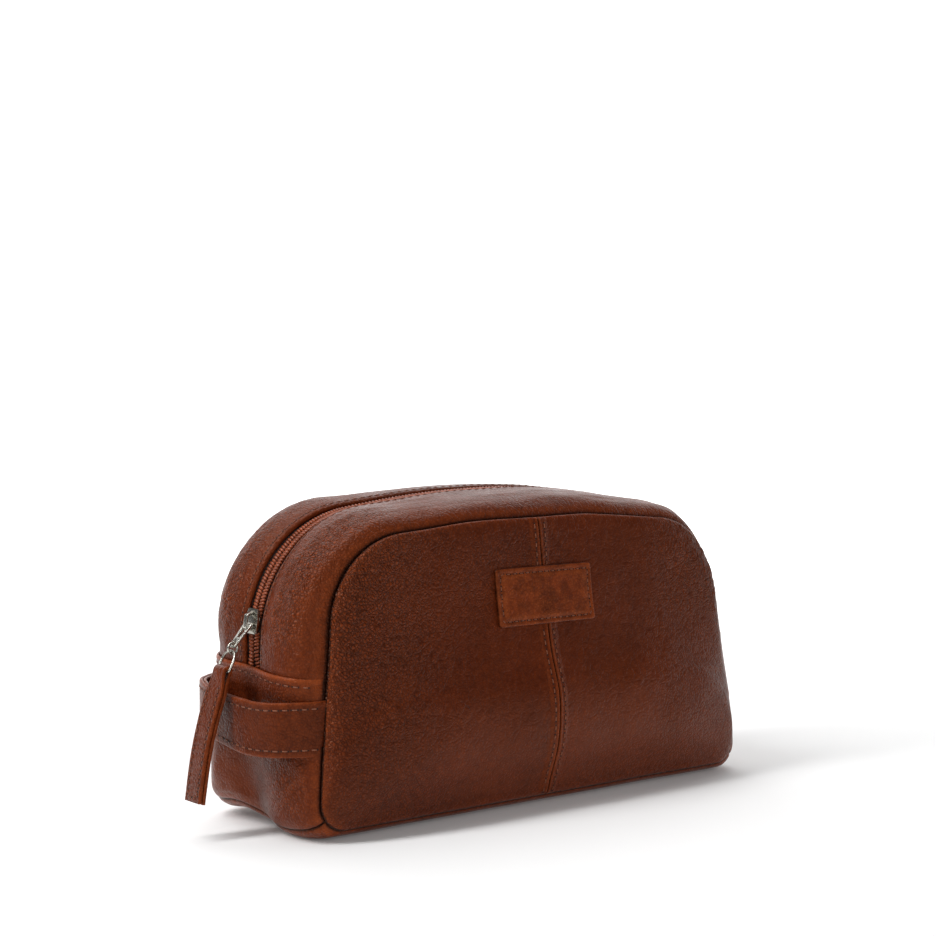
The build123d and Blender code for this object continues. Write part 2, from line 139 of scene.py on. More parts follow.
def outline_xz(shape, path, inset=0.0):
    """The points of the left half of an outline, as x and height."""
    foot, corner = shape["foot"] - inset, shape["corner"] - inset
    base, crown = shape["base"] + inset, shape["crown"] - inset
    foot_x, foot_z = shape["foot"] - shape["half"], shape["base"] + shape["foot"]
    top_x, top_z = -shape["side"], shape["rise"]
    run = np.maximum(np.hypot(top_x - foot_x, top_z - foot_z), 1e-6)
    turn = np.arctan2(top_z - foot_z, top_x - foot_x) + np.arccos(np.clip((foot - corner) / run, -1, 1))
    over = crown - top_z
    crown_radius = (top_x**2 + over**2 - corner**2) / (2 * np.maximum(over - corner, 1e-6))
    tilt = np.arctan2(-top_x, crown_radius - over)
    up, down = math.radians(90), math.radians(270)
    starts = np.concatenate([[0], STRETCH_ENDS[:-1]])
    base_t, foot_t, side_t, corner_t, crown_t = [
        np.clip((path - start) / length, 0, 1) for start, length in zip(starts, STRETCHES)
    ]
    foot_angle = down + (turn - down) * foot_t
    corner_angle = turn + (up + tilt - turn) * corner_t
    crown_angle = up + tilt * (1 - crown_t)
    side_from = (foot_x + foot * np.cos(turn), foot_z + foot * np.sin(turn))
    side_to = (top_x + corner * np.cos(turn), top_z + corner * np.sin(turn))
    side_x = side_from[0] + (side_to[0] - side_from[0]) * side_t
    side_z = side_from[1] + (side_to[1] - side_from[1]) * side_t
    parts = [
        (foot_x * base_t, base + 0 * base_t),
        (foot_x + foot * np.cos(foot_angle), foot_z + foot * np.sin(foot_angle)),
        (side_x, side_z),
        (top_x + corner * np.cos(corner_angle), top_z + corner * np.sin(corner_angle)),
    ]
    top = (crown_radius * np.cos(crown_angle), crown - crown_radius + crown_radius * np.sin(crown_angle))
    places = [path <= end for end in STRETCH_ENDS[:-1]]
    return [np.select(places, [part[axis] for part in parts], top[axis]) for axis in (0, 1)]


def mirrored(lap):
    return 2 * END_PATH - lap


def lap_to_path(lap):
    """A lap runs over the bag from its left end (0) to its right end: the path, and the side it is on."""
    return np.where(lap <= END_PATH, lap, mirrored(lap)), np.where(lap <= END_PATH, -1.0, 1.0)


def shell(path, share, inset=0.0, side=-1.0):
    """Points of the bag's shell, before it settles."""
    path, share, inset, side = np.broadcast_arrays(path, share, inset, side)
    x, height = outline_xz(section(share), path, inset)
    lean = np.radians(-SEAM_LEAN * share)
    return np.stack([-side * x, SEAM_Y * share + height * np.sin(lean), height * np.cos(lean)], -1)


def share_at(path, y):
    """The share of the half depth at which the shell is that far from the middle."""
    height = outline_xz(ZIP, path)[1]
    return y / (SEAM_Y - height * math.sin(math.radians(SEAM_LEAN)))


def zip_points(lap, y, depth):
    """Points along the zip, a depth under the leather."""
    lap, y, depth = np.broadcast_arrays(lap, y, depth)
    path, side = lap_to_path(lap)
    x, height = outline_xz(ZIP, path, depth)
    return np.stack([-side * x, y, height], -1)


# ---- Noise and the way the leather has settled ---------------------------------------------------


def noise(points, cell, seed):
    """Smooth noise from -1 to 1, with a random value at each corner of a grid of cells."""
    table = np.random.default_rng(seed).uniform(-1, 1, 4096)
    scaled = np.asarray(points) / cell
    corner = np.floor(scaled).astype(np.int64)
    part = scaled - corner
    part = part * part * (3 - 2 * part)
    total = 0
    for step in itertools.product((0, 1), repeat=3):
        at = corner + step
        key = (at[..., 0] * 73856093) ^ (at[..., 1] * 19349663) ^ (at[..., 2] * 83492791)
        weight = np.prod(np.where(step, part, 1 - part), -1)
        total = total + weight * table[key & 4095]
    return total


def settle(points):
    """Moves points of the shell to where the soft leather has sagged, dented and puffed out."""
    p = np.array(points, float)
    x, y, z = p[..., 0].copy(), p[..., 1].copy(), p[..., 2].copy()
    left, right = smooth(-x, 92, 121), smooth(x, 100, 125)
    # The base is drawn up between the corners of the left end, and a little at the right end.
    p[..., 2] += 5.7 * left * bump(y, 17, 19) * np.exp(-np.maximum(z - 8, 0) / 10)
    p[..., 2] += 2.0 * right * bump(y, -4, 18) * np.exp(-np.maximum(z - 8, 0) / 10)
    # A crease runs down the left end from under the strap, with a puff on each side of it.
    crease = bump(y, 1 + 0.35 * (z - 12), 9.5) * smooth(z, 46, 12)
    p[..., 0] += 2.9 * left * crease
    p[..., 0] -= 2.0 * left * bump(y, -22, 11) * bump(z, 19, 12)
    p[..., 1] -= 0.8 * left * bump(y, -26, 14) * bump(z, 20, 14)
    p[..., 0] -= 3.6 * left * bump(y, 29, 15) * bump(z, 22, 20)
    # The right end is dented more gently.
    p[..., 0] -= 3.0 * right * bump(y, -3, 13) * bump(z, 30, 18)
    p[..., 0] += 1.5 * right * bump(y, 22, 14) * bump(z, 26, 18)
    # The rounded edge over the right end has sunk, and the crown falls away to it.
    loose = smooth(np.abs(y), 41, 29)
    p[..., 0] -= 10.5 * smooth(x, 88, 124) * smooth(z, 18, 66) * loose
    p[..., 2] -= 4.6 * smooth(x, 0, 95) * smooth(z, 100, 138) * smooth(np.abs(y), 46, 20)
    # The gusset in front of the zip lies lower than the zip, and the back left corner stands up.
    p[..., 2] -= (2.6 - 1.2 * smooth(x, -60, 20)) * smooth(z, 108, 140) * bump(y, -22, 13)
    p[..., 0] += 2.2 * smooth(-x, 95, 122) * smooth(z, 72, 86) * bump(y, -21, 12)
    back_left = smooth(-x, 60, 112) * bump(y, 26, 16) * smooth(z, 70, 105)
    p[..., 0] -= 1.6 * back_left
    p[..., 2] += 1.7 * back_left
    # The whole skin is a little uneven.
    for axis, seed in ((0, 11), (1, 12), (2, 13)):
        drift = 0.55 * noise(points, 34.0, seed) + 0.22 * noise(points, 15.0, seed + 20)
        drift *= 1 - 0.85 * bump(y, 0, 10) * smooth(z, 60, 75)  # the zip itself runs true
        held = 1.0 if axis < 2 else smooth(z, 6, 40)
        p[..., axis] += drift * held
    p[..., 2] = np.maximum(p[..., 2], 0.0)
    return p


# ---- Meshes --------------------------------------------------------------------------------------


def add_mesh(name, points, faces, material, body="bag", slot="leather", replaces=(), **attributes):
    """Makes a smooth mesh from millimetre points, hangs it on its body, and hides the frame's parts that it
    replaces.
    """
    mesh = bpy.data.meshes.new(name)
    mesh.from_pydata((np.asarray(points, float).reshape(-1, 3) * MM).tolist(), [], faces)
    mesh.polygons.foreach_set("use_smooth", [True] * len(mesh.polygons))
    for key, values in attributes.items():
        attribute = mesh.attributes.new(key, "FLOAT", "POINT")
        attribute.data.foreach_set("value", np.asarray(values, np.float32).ravel())
    mesh.materials.append(material)
    mesh.update()
    piece = place(name, mesh)
    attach(piece, body)
    if replaces:
        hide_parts(*replaces)
    return piece


def grid_faces(rows, columns, wrap_rows=False, wrap_columns=False, flip=False):
    """The quads of a grid of points, row after row."""
    last_row, last_column = rows - (not wrap_rows), columns - (not wrap_columns)
    faces = []
    for i in range(last_row):
        for j in range(last_column):
            a, b = i * columns + j, i * columns + (j + 1) % columns
            c, d = ((i + 1) % rows) * columns + (j + 1) % columns, ((i + 1) % rows) * columns + j
            faces.append((a, d, c, b) if flip else (a, b, c, d))
    return faces


def repeated(single, size, count):
    """The faces of a row of like pieces, each with size points."""
    return [tuple(size * i + corner for corner in face) for i in range(count) for face in single]


def grid_normals(points):
    """Unit normals of a grid of points."""
    along = np.gradient(points, axis=0)
    across = np.gradient(points, axis=1)
    normals = np.cross(along, across)
    length = np.linalg.norm(normals, axis=-1, keepdims=True)
    return normals / np.maximum(length, 1e-9)


def spaced(*knots):
    """Numbers from knot to knot, each knot given as (value, step up to the next)."""
    numbers = []
    for (value, step), (following, _) in zip(knots, knots[1:]):
        count = max(1, round(abs(following - value) / step))
        numbers.extend(value + (following - value) * i / count for i in range(count))
    numbers.append(knots[-1][0])
    return np.array(numbers)


def surface_tree(*pieces):
    """A search tree over the surfaces of pieces, in millimetres."""
    points, faces = [], []
    for piece in pieces:
        start = len(points)
        points.extend(v.co / MM for v in piece.data.vertices)
        faces.extend([start + i for i in polygon.vertices] for polygon in piece.data.polygons)
    return BVHTree.FromPolygons(points, faces)


# ---- Materials -----------------------------------------------------------------------------------


class Shader:
    """Builds a material's nodes around its main shader."""

    def __init__(self, name, **constants):
        self.material = bpy.data.materials.new(name)
        self.material.use_nodes = True
        self.tree = self.material.node_tree
        self.main = self.tree.nodes["Principled BSDF"]
        for key, value in constants.items():
            self.main.inputs[key.replace("_", " ")].default_value = value
        self.place = self.tree.nodes.new("ShaderNodeTexCoord").outputs["Object"]

    def set(self, node, inputs):
        for key, value in inputs.items():
            socket = node.inputs[key]
            if isinstance(value, bpy.types.NodeSocket):
                self.tree.links.new(value, socket)
            else:
                socket.default_value = value

    def node(self, kind, inputs, output=0, **settings):
        node = self.tree.nodes.new("ShaderNode" + kind)
        for key, value in settings.items():
            setattr(node, key, value)
        self.set(node, inputs)
        return node.outputs[output]

    def math(self, operation, a, b=0.0, clamp=False):
        return self.node("Math", {0: a, 1: b}, operation=operation, use_clamp=clamp)

    def attribute(self, name):
        return self.node("Attribute", {}, "Fac", attribute_name=name)

    def noise(self, scale, detail=2.0, roughness=0.5, place=None, distortion=0.0):
        inputs = {
            "Vector": place or self.place,
            "Scale": scale,
            "Detail": detail,
            "Roughness": roughness,
            "Distortion": distortion,
        }
        return self.node("TexNoise", inputs, "Fac")

    def stretch(self, value, low, high, to_low=0.0, to_high=1.0):
        inputs = {"Value": value, "From Min": low, "From Max": high, "To Min": to_low, "To Max": to_high}
        return self.node("MapRange", inputs, clamp=True)

    def mix(self, factor, a, b):
        """A colour between two colours."""
        node = self.tree.nodes.new("ShaderNodeMix")
        node.data_type = "RGBA"
        self.set(node, {0: factor, 6: a, 7: b})
        return node.outputs[2]

    def warped(self, scale, amount):
        """The place, pushed about by noise, so that cells come out irregular."""
        push = self.node("TexNoise", {"Vector": self.place, "Scale": scale, "Detail": 1.0}, "Color")
        centred = self.node("VectorMath", {0: push, 1: (0.5, 0.5, 0.5)}, operation="SUBTRACT")
        scaled = self.node("VectorMath", {0: centred, "Scale": amount}, operation="SCALE")
        return self.node("VectorMath", {0: self.place, 1: scaled}, operation="ADD")

    def to_edge(self, scale, *warp):
        """The distance to the edge of an irregular cell."""
        inputs = {"Vector": self.warped(*warp), "Scale": scale}
        return self.node("TexVoronoi", inputs, "Distance", feature="DISTANCE_TO_EDGE")

    def bump(self, height, distance):
        return self.node("Bump", {"Height": height, "Distance": distance, "Strength": 1.0})

    def finish(self, **sockets):
        self.set(self.main, {key.replace("_", " "): value for key, value in sockets.items()})
        return self.material


def leather(name, dark, mid, warm, grain=1.0, roughness=0.34, mottle=26.0, mottled=0.7):
    """Waxed, pebbled leather: mottled, lighter where it is rubbed and where highlights are painted, with
    shade painted into the fine creases between its pebbles.

    Attributes: wear is where edges have rubbed light and where highlights are painted along seam rolls, folds
    and ridges, grain is how strong the pebbles are and with them the shade painted in their creases, and
    shade is where a seam's groove is painted dark.
    """
    s = Shader(
        name,
        Specular_IOR_Level=0.24,
        Specular_Tint=(1.0, 0.44, 0.24, 1),
        Coat_Weight=0.06,
        Coat_Roughness=0.25,
    )
    wear, relief, shade = s.attribute("wear"), s.attribute("grain"), s.attribute("shade")
    pebbles = s.stretch(s.to_edge(700.0, 420.0, 0.0011), 0.0, 0.34)
    folds = s.stretch(s.to_edge(230.0, 130.0, 0.004), 0.0, 0.14)
    pores = s.noise(2600.0, 3.0, 0.6)
    patches = s.stretch(s.noise(mottle, 4.0, 0.62, distortion=0.6), 0.36, 0.66)
    flecks = s.stretch(s.noise(330.0, 3.0, 0.6), 0.36, 0.68)
    clouds = s.stretch(s.noise(9.0, 3.0, 0.5), 0.35, 0.7)
    streaks = s.stretch(s.noise(90.0, 5.0, 0.7, distortion=1.5), 0.55, 0.78)
    scratches = s.math("MULTIPLY", s.stretch(s.to_edge(34.0, 30.0, 0.03), 0.0, 0.018, 1.0, 0.0), streaks)
    colour = s.mix(s.math("MULTIPLY", patches, mottled), dark, mid)
    colour = s.mix(s.math("MULTIPLY", clouds, 0.22), colour, warm)
    # Painted highlight: the tops of the pebbles are lightened, and flecks lighten the colour at random.
    tops = s.math("MULTIPLY", s.math("MULTIPLY", pebbles, relief), 0.22)
    colour = s.mix(s.math("ADD", tops, s.math("MULTIPLY", flecks, 0.17)), colour, warm)
    rubbed = s.math("ADD", s.math("MULTIPLY", streaks, 0.14), s.math("MULTIPLY", scratches, 0.35))
    # Highlights painted on the mesh join real rub marks and scratches here, and all of them lighten the
    # colour.
    lightened = s.math("ADD", s.math("MULTIPLY", wear, s.stretch(flecks, 0, 1, 0.5, 1.0)), rubbed, clamp=True)
    colour = s.mix(lightened, colour, warm)
    # Painted shade: the creases between pebbles and the larger folds are darkened, together with each seam's
    # groove.
    crease_dark = s.math("MULTIPLY", s.stretch(pebbles, 0.0, 0.6, 0.44, 0.0), relief)
    fold_dark = s.math("MULTIPLY", s.stretch(folds, 0.0, 0.6, 0.24, 0.0), relief)
    shadowed = s.math("ADD", s.math("MAXIMUM", crease_dark, fold_dark), shade, clamp=True)
    colour = s.mix(shadowed, colour, scaled(dark, 0.16))
    rough = s.stretch(s.noise(60.0, 3.0), 0.3, 0.7, roughness - 0.06, roughness + 0.08)
    height = s.math("MULTIPLY", s.math("MULTIPLY", pebbles, relief), 1.15 * grain)
    height = s.math("ADD", height, s.math("MULTIPLY", s.math("MULTIPLY", folds, relief), 1.0 * grain))
    height = s.math("ADD", height, s.math("MULTIPLY", s.math("ADD", pores, flecks), 0.05))
    height = s.math("SUBTRACT", height, s.math("MULTIPLY", scratches, 0.12))
    return s.finish(
        Base_Color=colour,
        Roughness=rough,
        Normal=s.bump(height, 0.00021),
        Coat_Normal=s.bump(height, 0.00012),
    )


def scaled(colour, times):
    return tuple(channel * times for channel in colour[:3]) + (1,)


def thread(name, colour):
    s = Shader(name, Roughness=0.55)
    twist = s.noise(1800.0, 2.0)
    tone = s.mix(s.stretch(twist, 0.35, 0.65), colour, scaled(colour, 1.7))
    return s.finish(Base_Color=tone, Normal=s.bump(twist, 0.0001))


def woven(name, colour, scale):
    """A plain weave: ribs one way crossed by ribs the other way."""
    s = Shader(name, Roughness=0.8, Sheen_Weight=0.2)
    ribs = [
        s.node("TexWave", {"Vector": s.place, "Scale": scale, "Distortion": 0.6}, "Fac", bands_direction=way)
        for way in ("X", "Y")
    ]
    weave = s.math("MAXIMUM", *ribs)
    tone = s.mix(s.math("MULTIPLY", weave, s.noise(240.0)), scaled(colour, 0.45), colour)
    return s.finish(Base_Color=tone, Normal=s.bump(weave, 0.00012))


def coil_plastic(name, colour):
    s = Shader(name, Roughness=0.36, Specular_IOR_Level=0.5)
    tone = s.mix(s.stretch(s.noise(300.0, 2.0), 0.35, 0.65), colour, scaled(colour, 1.5))
    return s.finish(Base_Color=tone, Normal=s.bump(s.noise(2200.0), 0.00005))


def nickel(name):
    s = Shader(name, Metallic=1.0)
    smudge = s.noise(140.0, 4.0, 0.65)
    tone = s.mix(s.stretch(smudge, 0.35, 0.7), (0.40, 0.38, 0.33, 1), (0.62, 0.60, 0.55, 1))
    rough = s.stretch(smudge, 0.3, 0.75, 0.13, 0.3)
    return s.finish(Base_Color=tone, Roughness=rough)


LEATHER_DARK = (0.056, 0.0082, 0.0024, 1)
LEATHER_MID = (0.112, 0.0170, 0.0042, 1)
LEATHER_WARM = (0.28, 0.054, 0.012, 1)
LABEL_DARK = (0.070, 0.0105, 0.0032, 1)
LABEL_MID = (0.220, 0.037, 0.0090, 1)
LABEL_WARM = (0.46, 0.105, 0.024, 1)
bag_leather = leather("bag_leather", LEATHER_DARK, LEATHER_MID, LEATHER_WARM)
label_leather = leather(
    "label_leather", LABEL_DARK, LABEL_MID, LABEL_WARM, grain=0.6, mottle=120.0, mottled=1.0
)
tab_leather = leather("tab_leather", LEATHER_DARK, LEATHER_MID, LEATHER_WARM, grain=0.8)
stitch_thread = thread("stitch_thread", (0.16, 0.050, 0.021, 1))
tape_weave = woven("zip_tape_weave", (0.13, 0.028, 0.011, 1), 620.0)
coil_material = coil_plastic("zip_coil_plastic", (0.21, 0.042, 0.010, 1))
lining_weave = woven("lining_weave", (0.20, 0.15, 0.10, 1), 500.0)
metal = nickel("polished_nickel")
# Near-black discs at the needle holes are painted shade for the inside of each hole.
needle_hole_shade = Shader("needle_hole_shade", Roughness=0.9).finish(Base_Color=(0.012, 0.004, 0.002, 1))

# ---- The leather shell ---------------------------------------------------------------------------

TUCK = (3.0, 1.8, 0.9, 0.3)  # depths of the edge that is turned in at a seam
LIP_ROWS = (  # the folded edge beside the zip: (distance back from the edge, inset)
    (1.0, 0.08), (0.5, 0.3), (0.15, 0.7), (0, 1.2), (0.1, 1.8), (0.5, 2.3), (1.3, 2.7), (3.5, 2.8),
)
END_LOW_ROWS = (  # the lower edge of an end: (distance up from the base seam, inset)
    (0.0, 2.0), (0.1, 1.3), (0.4, 0.6), (1.0, 0.2), (2.0, 0.0),
)
HEM_ROWS = (  # the folded upper edge of an end: (distance down from the fold, inset)
    (4.0, -1.5), (2.4, -1.8), (1.2, -1.95), (0.5, -1.8), (0.1, -1.4), (0.0, -0.9), (0.3, -0.4),
    (1.2, -0.15), (5.0, 0.3),
)


def across_shares(count, power):
    """A row of shares from the front seam to the back seam, dense at the seams, and the tuck of each one."""
    half_shares = NEAR_SEAM * (1 - np.linspace(0, 1, count) ** power)
    tucks = np.concatenate([TUCK, 0 * half_shares])
    half_shares = np.concatenate([[half_shares[0]] * len(TUCK), half_shares])
    share = np.concatenate([-half_shares, half_shares[-2::-1]])[None, :]
    return share, np.concatenate([tucks, tucks[-2::-1]])[None, :]


def seam_distance(share):
    """About how far a point of the shell is from the seam, over the roll of the leather."""
    part = np.abs(share) / NEAR_SEAM
    return np.hypot(SEAM_Y * (1 - part), 8 * np.sqrt(np.maximum(1 - part**4, 0)))


def seam_wear(distance):
    """A highlight is painted along the roll of leather beside a seam."""
    return 0.42 * bump(distance, 2.2, 1.4) + 0.08 * bump(distance, 7.0, 4.0)


def seam_shade(distance):
    """The leather is dark in the groove of a seam."""
    return 0.9 * smooth(distance, 1.1, 0.15)


def fine_wrinkles(points, strength):
    """Short creases of soft leather, as heights: ridged noise of two sizes."""
    ridges = 1 - np.abs(noise(points, 4.2, 71)) * 2
    small = 1 - np.abs(noise(points, 2.1, 72)) * 2
    return strength * (0.30 * ridges + 0.16 * small)


def gusset(end, name, node):
    """The strip of leather between a seam and the zip, from the left hem over the top to the right hem.

    End is -1 for the front and 1 for the back.
    """
    laps = spaced(
        (GUSSET_FROM, 0.9), (FINE_TO, 1.2), (mirrored(FINE_TO), 0.9), (mirrored(GUSSET_FROM), 1.0)
    )
    path, side = lap_to_path(laps)
    path, side = path[:, None], side[:, None]
    lip = LIP_Y[end]
    lip_share = share_at(path, lip + 1.6)
    # Columns: the tuck at the seam, the run over the ridge, and the folded lip beside the zip.
    run = np.linspace(0, 1, 60)
    spread = 0.6 * run**2.6 + 0.4 * run**1.5
    columns = [NEAR_SEAM + 0 * path] * len(TUCK)
    columns += [NEAR_SEAM - (NEAR_SEAM - lip_share) * step for step in spread]
    columns += [share_at(path, lip + back) for back, _ in LIP_ROWS]
    share = np.concatenate(columns, 1) * end
    inset = np.array([*TUCK, *(0 * spread), *(inset for _, inset in LIP_ROWS)])[None, :]
    points = shell(path, share, inset, side)
    normals = grid_normals(points) * -end
    # Long soft folds run beside the zip, and fine wrinkles gather at the front left corner.
    across = np.abs(share) * SEAM_Y
    length = np.broadcast_to(laps[:, None], across.shape)
    open_skin = smooth(across, 8, 13) * smooth(across, 41.5, 37)
    flat = np.stack([length / 26.0, across / 4.2, 0 * across], -1)
    long_folds = noise(flat, 1.0, 31 + end) * open_skin
    gathered = smooth(-points[..., 0], 70, 100) * smooth(points[..., 2], 78, 92)
    gathered = gathered * smooth(across, 11, 20) * smooth(across, 40, 30)
    near_hem = smooth(points[..., 2], 92, 76) * open_skin
    drape = np.stack([length / 5.0, across / 16.0, 0 * across + 7], -1)
    lift = 0.28 * long_folds + fine_wrinkles(points, gathered * (1.0 if end < 0 else 0.45))
    lift = lift + 0.22 * near_hem * noise(drape, 1.0, 37 + end)
    points = settle(points + normals * lift[..., None])
    # A highlight is painted along the folded lip beside the zip, stronger on the back lip, and over the
    # gathered front left corner.
    lip_wear = 0.75 * bump(across, lip + 0.6, 0.8) * (1.0 if end > 0 else 0.6)
    wear = seam_wear(seam_distance(share)) + lip_wear + 0.16 * gathered
    grain = 0.5 + 0.9 * gathered + 0.3 * smooth(noise(points, 30.0, 5), 0, 0.6)
    shade = seam_shade(seam_distance(share))
    faces = grid_faces(*points.shape[:2], flip=end < 0)
    return add_mesh(name, points, faces, bag_leather, replaces=[node], wear=wear, grain=grain, shade=shade)


def path_at(share, height):
    """The path at which an end reaches a height, for each share."""
    paths = np.linspace(FOOT_PATH + 8, CORNER_PATH + 20, 90)
    found = []
    for one_share, one_height in zip(np.ravel(share), np.ravel(height + 0 * share)):
        found.append(np.interp(one_height, shell(paths, one_share)[:, 2], paths))
    return np.reshape(found, np.shape(share))


def hem_path(share, drop=0.0):
    """Where the folded edge of an end lies: it rises a little to the back."""
    return path_at(share, HEM_Z + HEM_RISE * share - 0.7 * bump(share, -1, 0.35) - drop)


def end_panel(side, name, node):
    """An end, from the base seam up to its folded edge, which lies over the ends of the gussets."""
    share, tuck = across_shares(44, 2.0)
    top = hem_path(share)
    paths = [BASE_SEAM_PATH + distance + 0 * share for distance, _ in END_LOW_ROWS]
    insets = [inset for _, inset in END_LOW_ROWS]
    low, high = BASE_SEAM_PATH + END_LOW_ROWS[-1][0], top - HEM_ROWS[0][0]
    for step in np.linspace(0, 1, 62)[1:-1]:
        paths.append(low + (high - low) * step)
        insets.append(HEM_ROWS[0][1] * float(smooth(step, 0.62, 0.95)))
    paths += [top - distance for distance, _ in HEM_ROWS]
    insets += [inset for _, inset in HEM_ROWS]
    path, inset = np.concatenate(paths, 0), np.array(insets)[:, None]
    # The fold is flat where it is sewn into the seams.
    squeezed = 0.3 + 0.7 * smooth(SEAM_Y * (NEAR_SEAM - np.abs(share)), 0, 6)
    inset = inset * np.where(inset < 0, squeezed, 1) + tuck
    points = shell(path, share, inset, side)
    normals = grid_normals(points) * side
    height, across = points[..., 2], np.abs(share) * SEAM_Y + 0 * path
    soft = smooth(across, 41.0, 36) * smooth(height, 9, 16) * smooth(height, 70, 60)
    creases = np.stack([points[..., 1] / 9.0, height / 2.6, 0 * height], -1)
    under_strap = bump(height, 36, 4.5) * bump(points[..., 1], -30, 9)
    lift = 0.35 * soft * noise(points, 7.0, 41) + 0.55 * under_strap * noise(creases, 1.0, 43)
    lift = lift + fine_wrinkles(points, 0.5 * soft * bump(points[..., 1], -24, 14) * bump(height, 20, 14))
    points = settle(points + normals * lift[..., None])
    # Highlights are painted along the seam rolls, the hem's fold and the roll above the base seam; the end is
    # also a little lighter towards its top and over its soft lower front.
    wear = seam_wear(seam_distance(share)) + 0.85 * bump(path, top - 0.4, 1.3)
    wear = wear + 0.35 * bump(path, BASE_SEAM_PATH + 2, 2.0)
    wear = wear + 0.22 * smooth(height, 62, 68) + 0.14 * soft * bump(points[..., 1], -28, 10)
    grain = 0.5 + 0.6 * soft * bump(points[..., 1], -26, 12) + 0 * path
    shade = np.maximum(seam_shade(seam_distance(share)), seam_shade(path - BASE_SEAM_PATH))
    faces = grid_faces(*points.shape[:2], flip=side > 0)
    return add_mesh(name, points, faces, bag_leather, replaces=[node], wear=wear, grain=grain, shade=shade)


def base_panel():
    """The base, which rolls up to its seams all round."""
    half_path = spaced((0.0, 2.5), (112.0, 1.0), (BASE_SEAM_PATH - 0.8, 0.3), (BASE_SEAM_PATH, 1.0))
    edge = np.array([0.7, 1.3, 2.0])
    paths = np.concatenate([half_path, [BASE_SEAM_PATH] * 3])
    end_inset = np.concatenate([0.9 * smooth(half_path, BASE_SEAM_PATH - 1.2, BASE_SEAM_PATH), edge + 0.4])
    laps = np.concatenate([-paths[::-1], paths[1:]])
    end_inset = np.concatenate([end_inset[::-1], end_inset[1:]])
    share, tuck = across_shares(36, 2.2)
    side = np.where(laps < 0, -1.0, 1.0)[:, None]
    points = shell(np.abs(laps)[:, None], share, end_inset[:, None] + tuck, side)
    across = np.abs(share) * SEAM_Y + 0 * points[..., 0]
    points = settle(points)
    # Highlights are painted on the base's edges where they roll up to the seams.
    wear = 0.45 * smooth(across, 36, 41) + 0.45 * smooth(np.abs(laps), 118, 127)[:, None] + 0 * across
    shade = np.maximum(seam_shade(seam_distance(share)), seam_shade(BASE_SEAM_PATH - np.abs(laps))[:, None])
    facts = dict(wear=wear, grain=0.5 + 0 * across, shade=shade)
    faces = grid_faces(*points.shape[:2], flip=True)
    return add_mesh("base_leather", points, faces, bag_leather, replaces=["bottom_panel"], **facts)


def through(stations, values, at):
    """The smooth curve through a value at each station."""
    return np.polyval(np.polyfit(stations, values, len(stations) - 1), at)


def face_points(end, side, paths, r, tuck=0.0, under=0.0):
    """Points of half of the front (end -1) or back (end 1) before it settles, and how far out each one is.

    r runs from 0 at the seam to 1 at the fullest line. Under is a depth below the leather's face.
    """
    shape = {key: through(FACE_STATIONS, values, r) for key, values in FACE.items()}
    x, height = outline_xz(shape, paths, tuck)
    out = SEAM_GAP + through(FACE_STATIONS + (1.25,), FACE_OUT, r) + 0.9 * (1 - np.exp(-r / 0.02))
    x, height, out = [a.copy() for a in np.broadcast_arrays(-side * x, height, out - 0.3 * tuck)]
    if under == 0:
        from_middle = np.abs(x)
        on_face = smooth(out, 0.3, 2.0)
        puckers = noise(np.stack([height / 4.3, from_middle / 9.0, 0 * x], -1), 1.0, 53 + side)
        slack = np.stack([x, height, 0 * x + 40 * end], -1)
        inner = smooth(out, 1.0, 6.0)
        gathers = bump(out, 2.6, 3.0) * smooth(height, 60, 100) * smooth(from_middle, 60, 100)
        # A seam runs down the middle as a raised band, with a fine turned edge in the middle of it.
        out += 0.55 * smooth(from_middle, 5.4, 3.6) * on_face
        out += (0.35 * bump(from_middle, 0.9, 0.7) - 0.9 * bump(from_middle, 0, 0.35)) * on_face
        out += 0.25 * puckers * bump(from_middle, 3.2, 2.4) * on_face
        out += inner * (0.8 * noise(slack, 42.0, 61) + 0.35 * noise(slack, 17.0, 62))
        out += fine_wrinkles(slack, 0.8 * gathers + 0.16 * inner)
    out -= under
    lean = math.radians(SEAM_LEAN)
    y = end * (SEAM_Y + out * math.cos(lean) - height * math.sin(lean))
    z = height * math.cos(lean) + out * math.sin(lean)
    return np.stack([x, y, z], -1), out


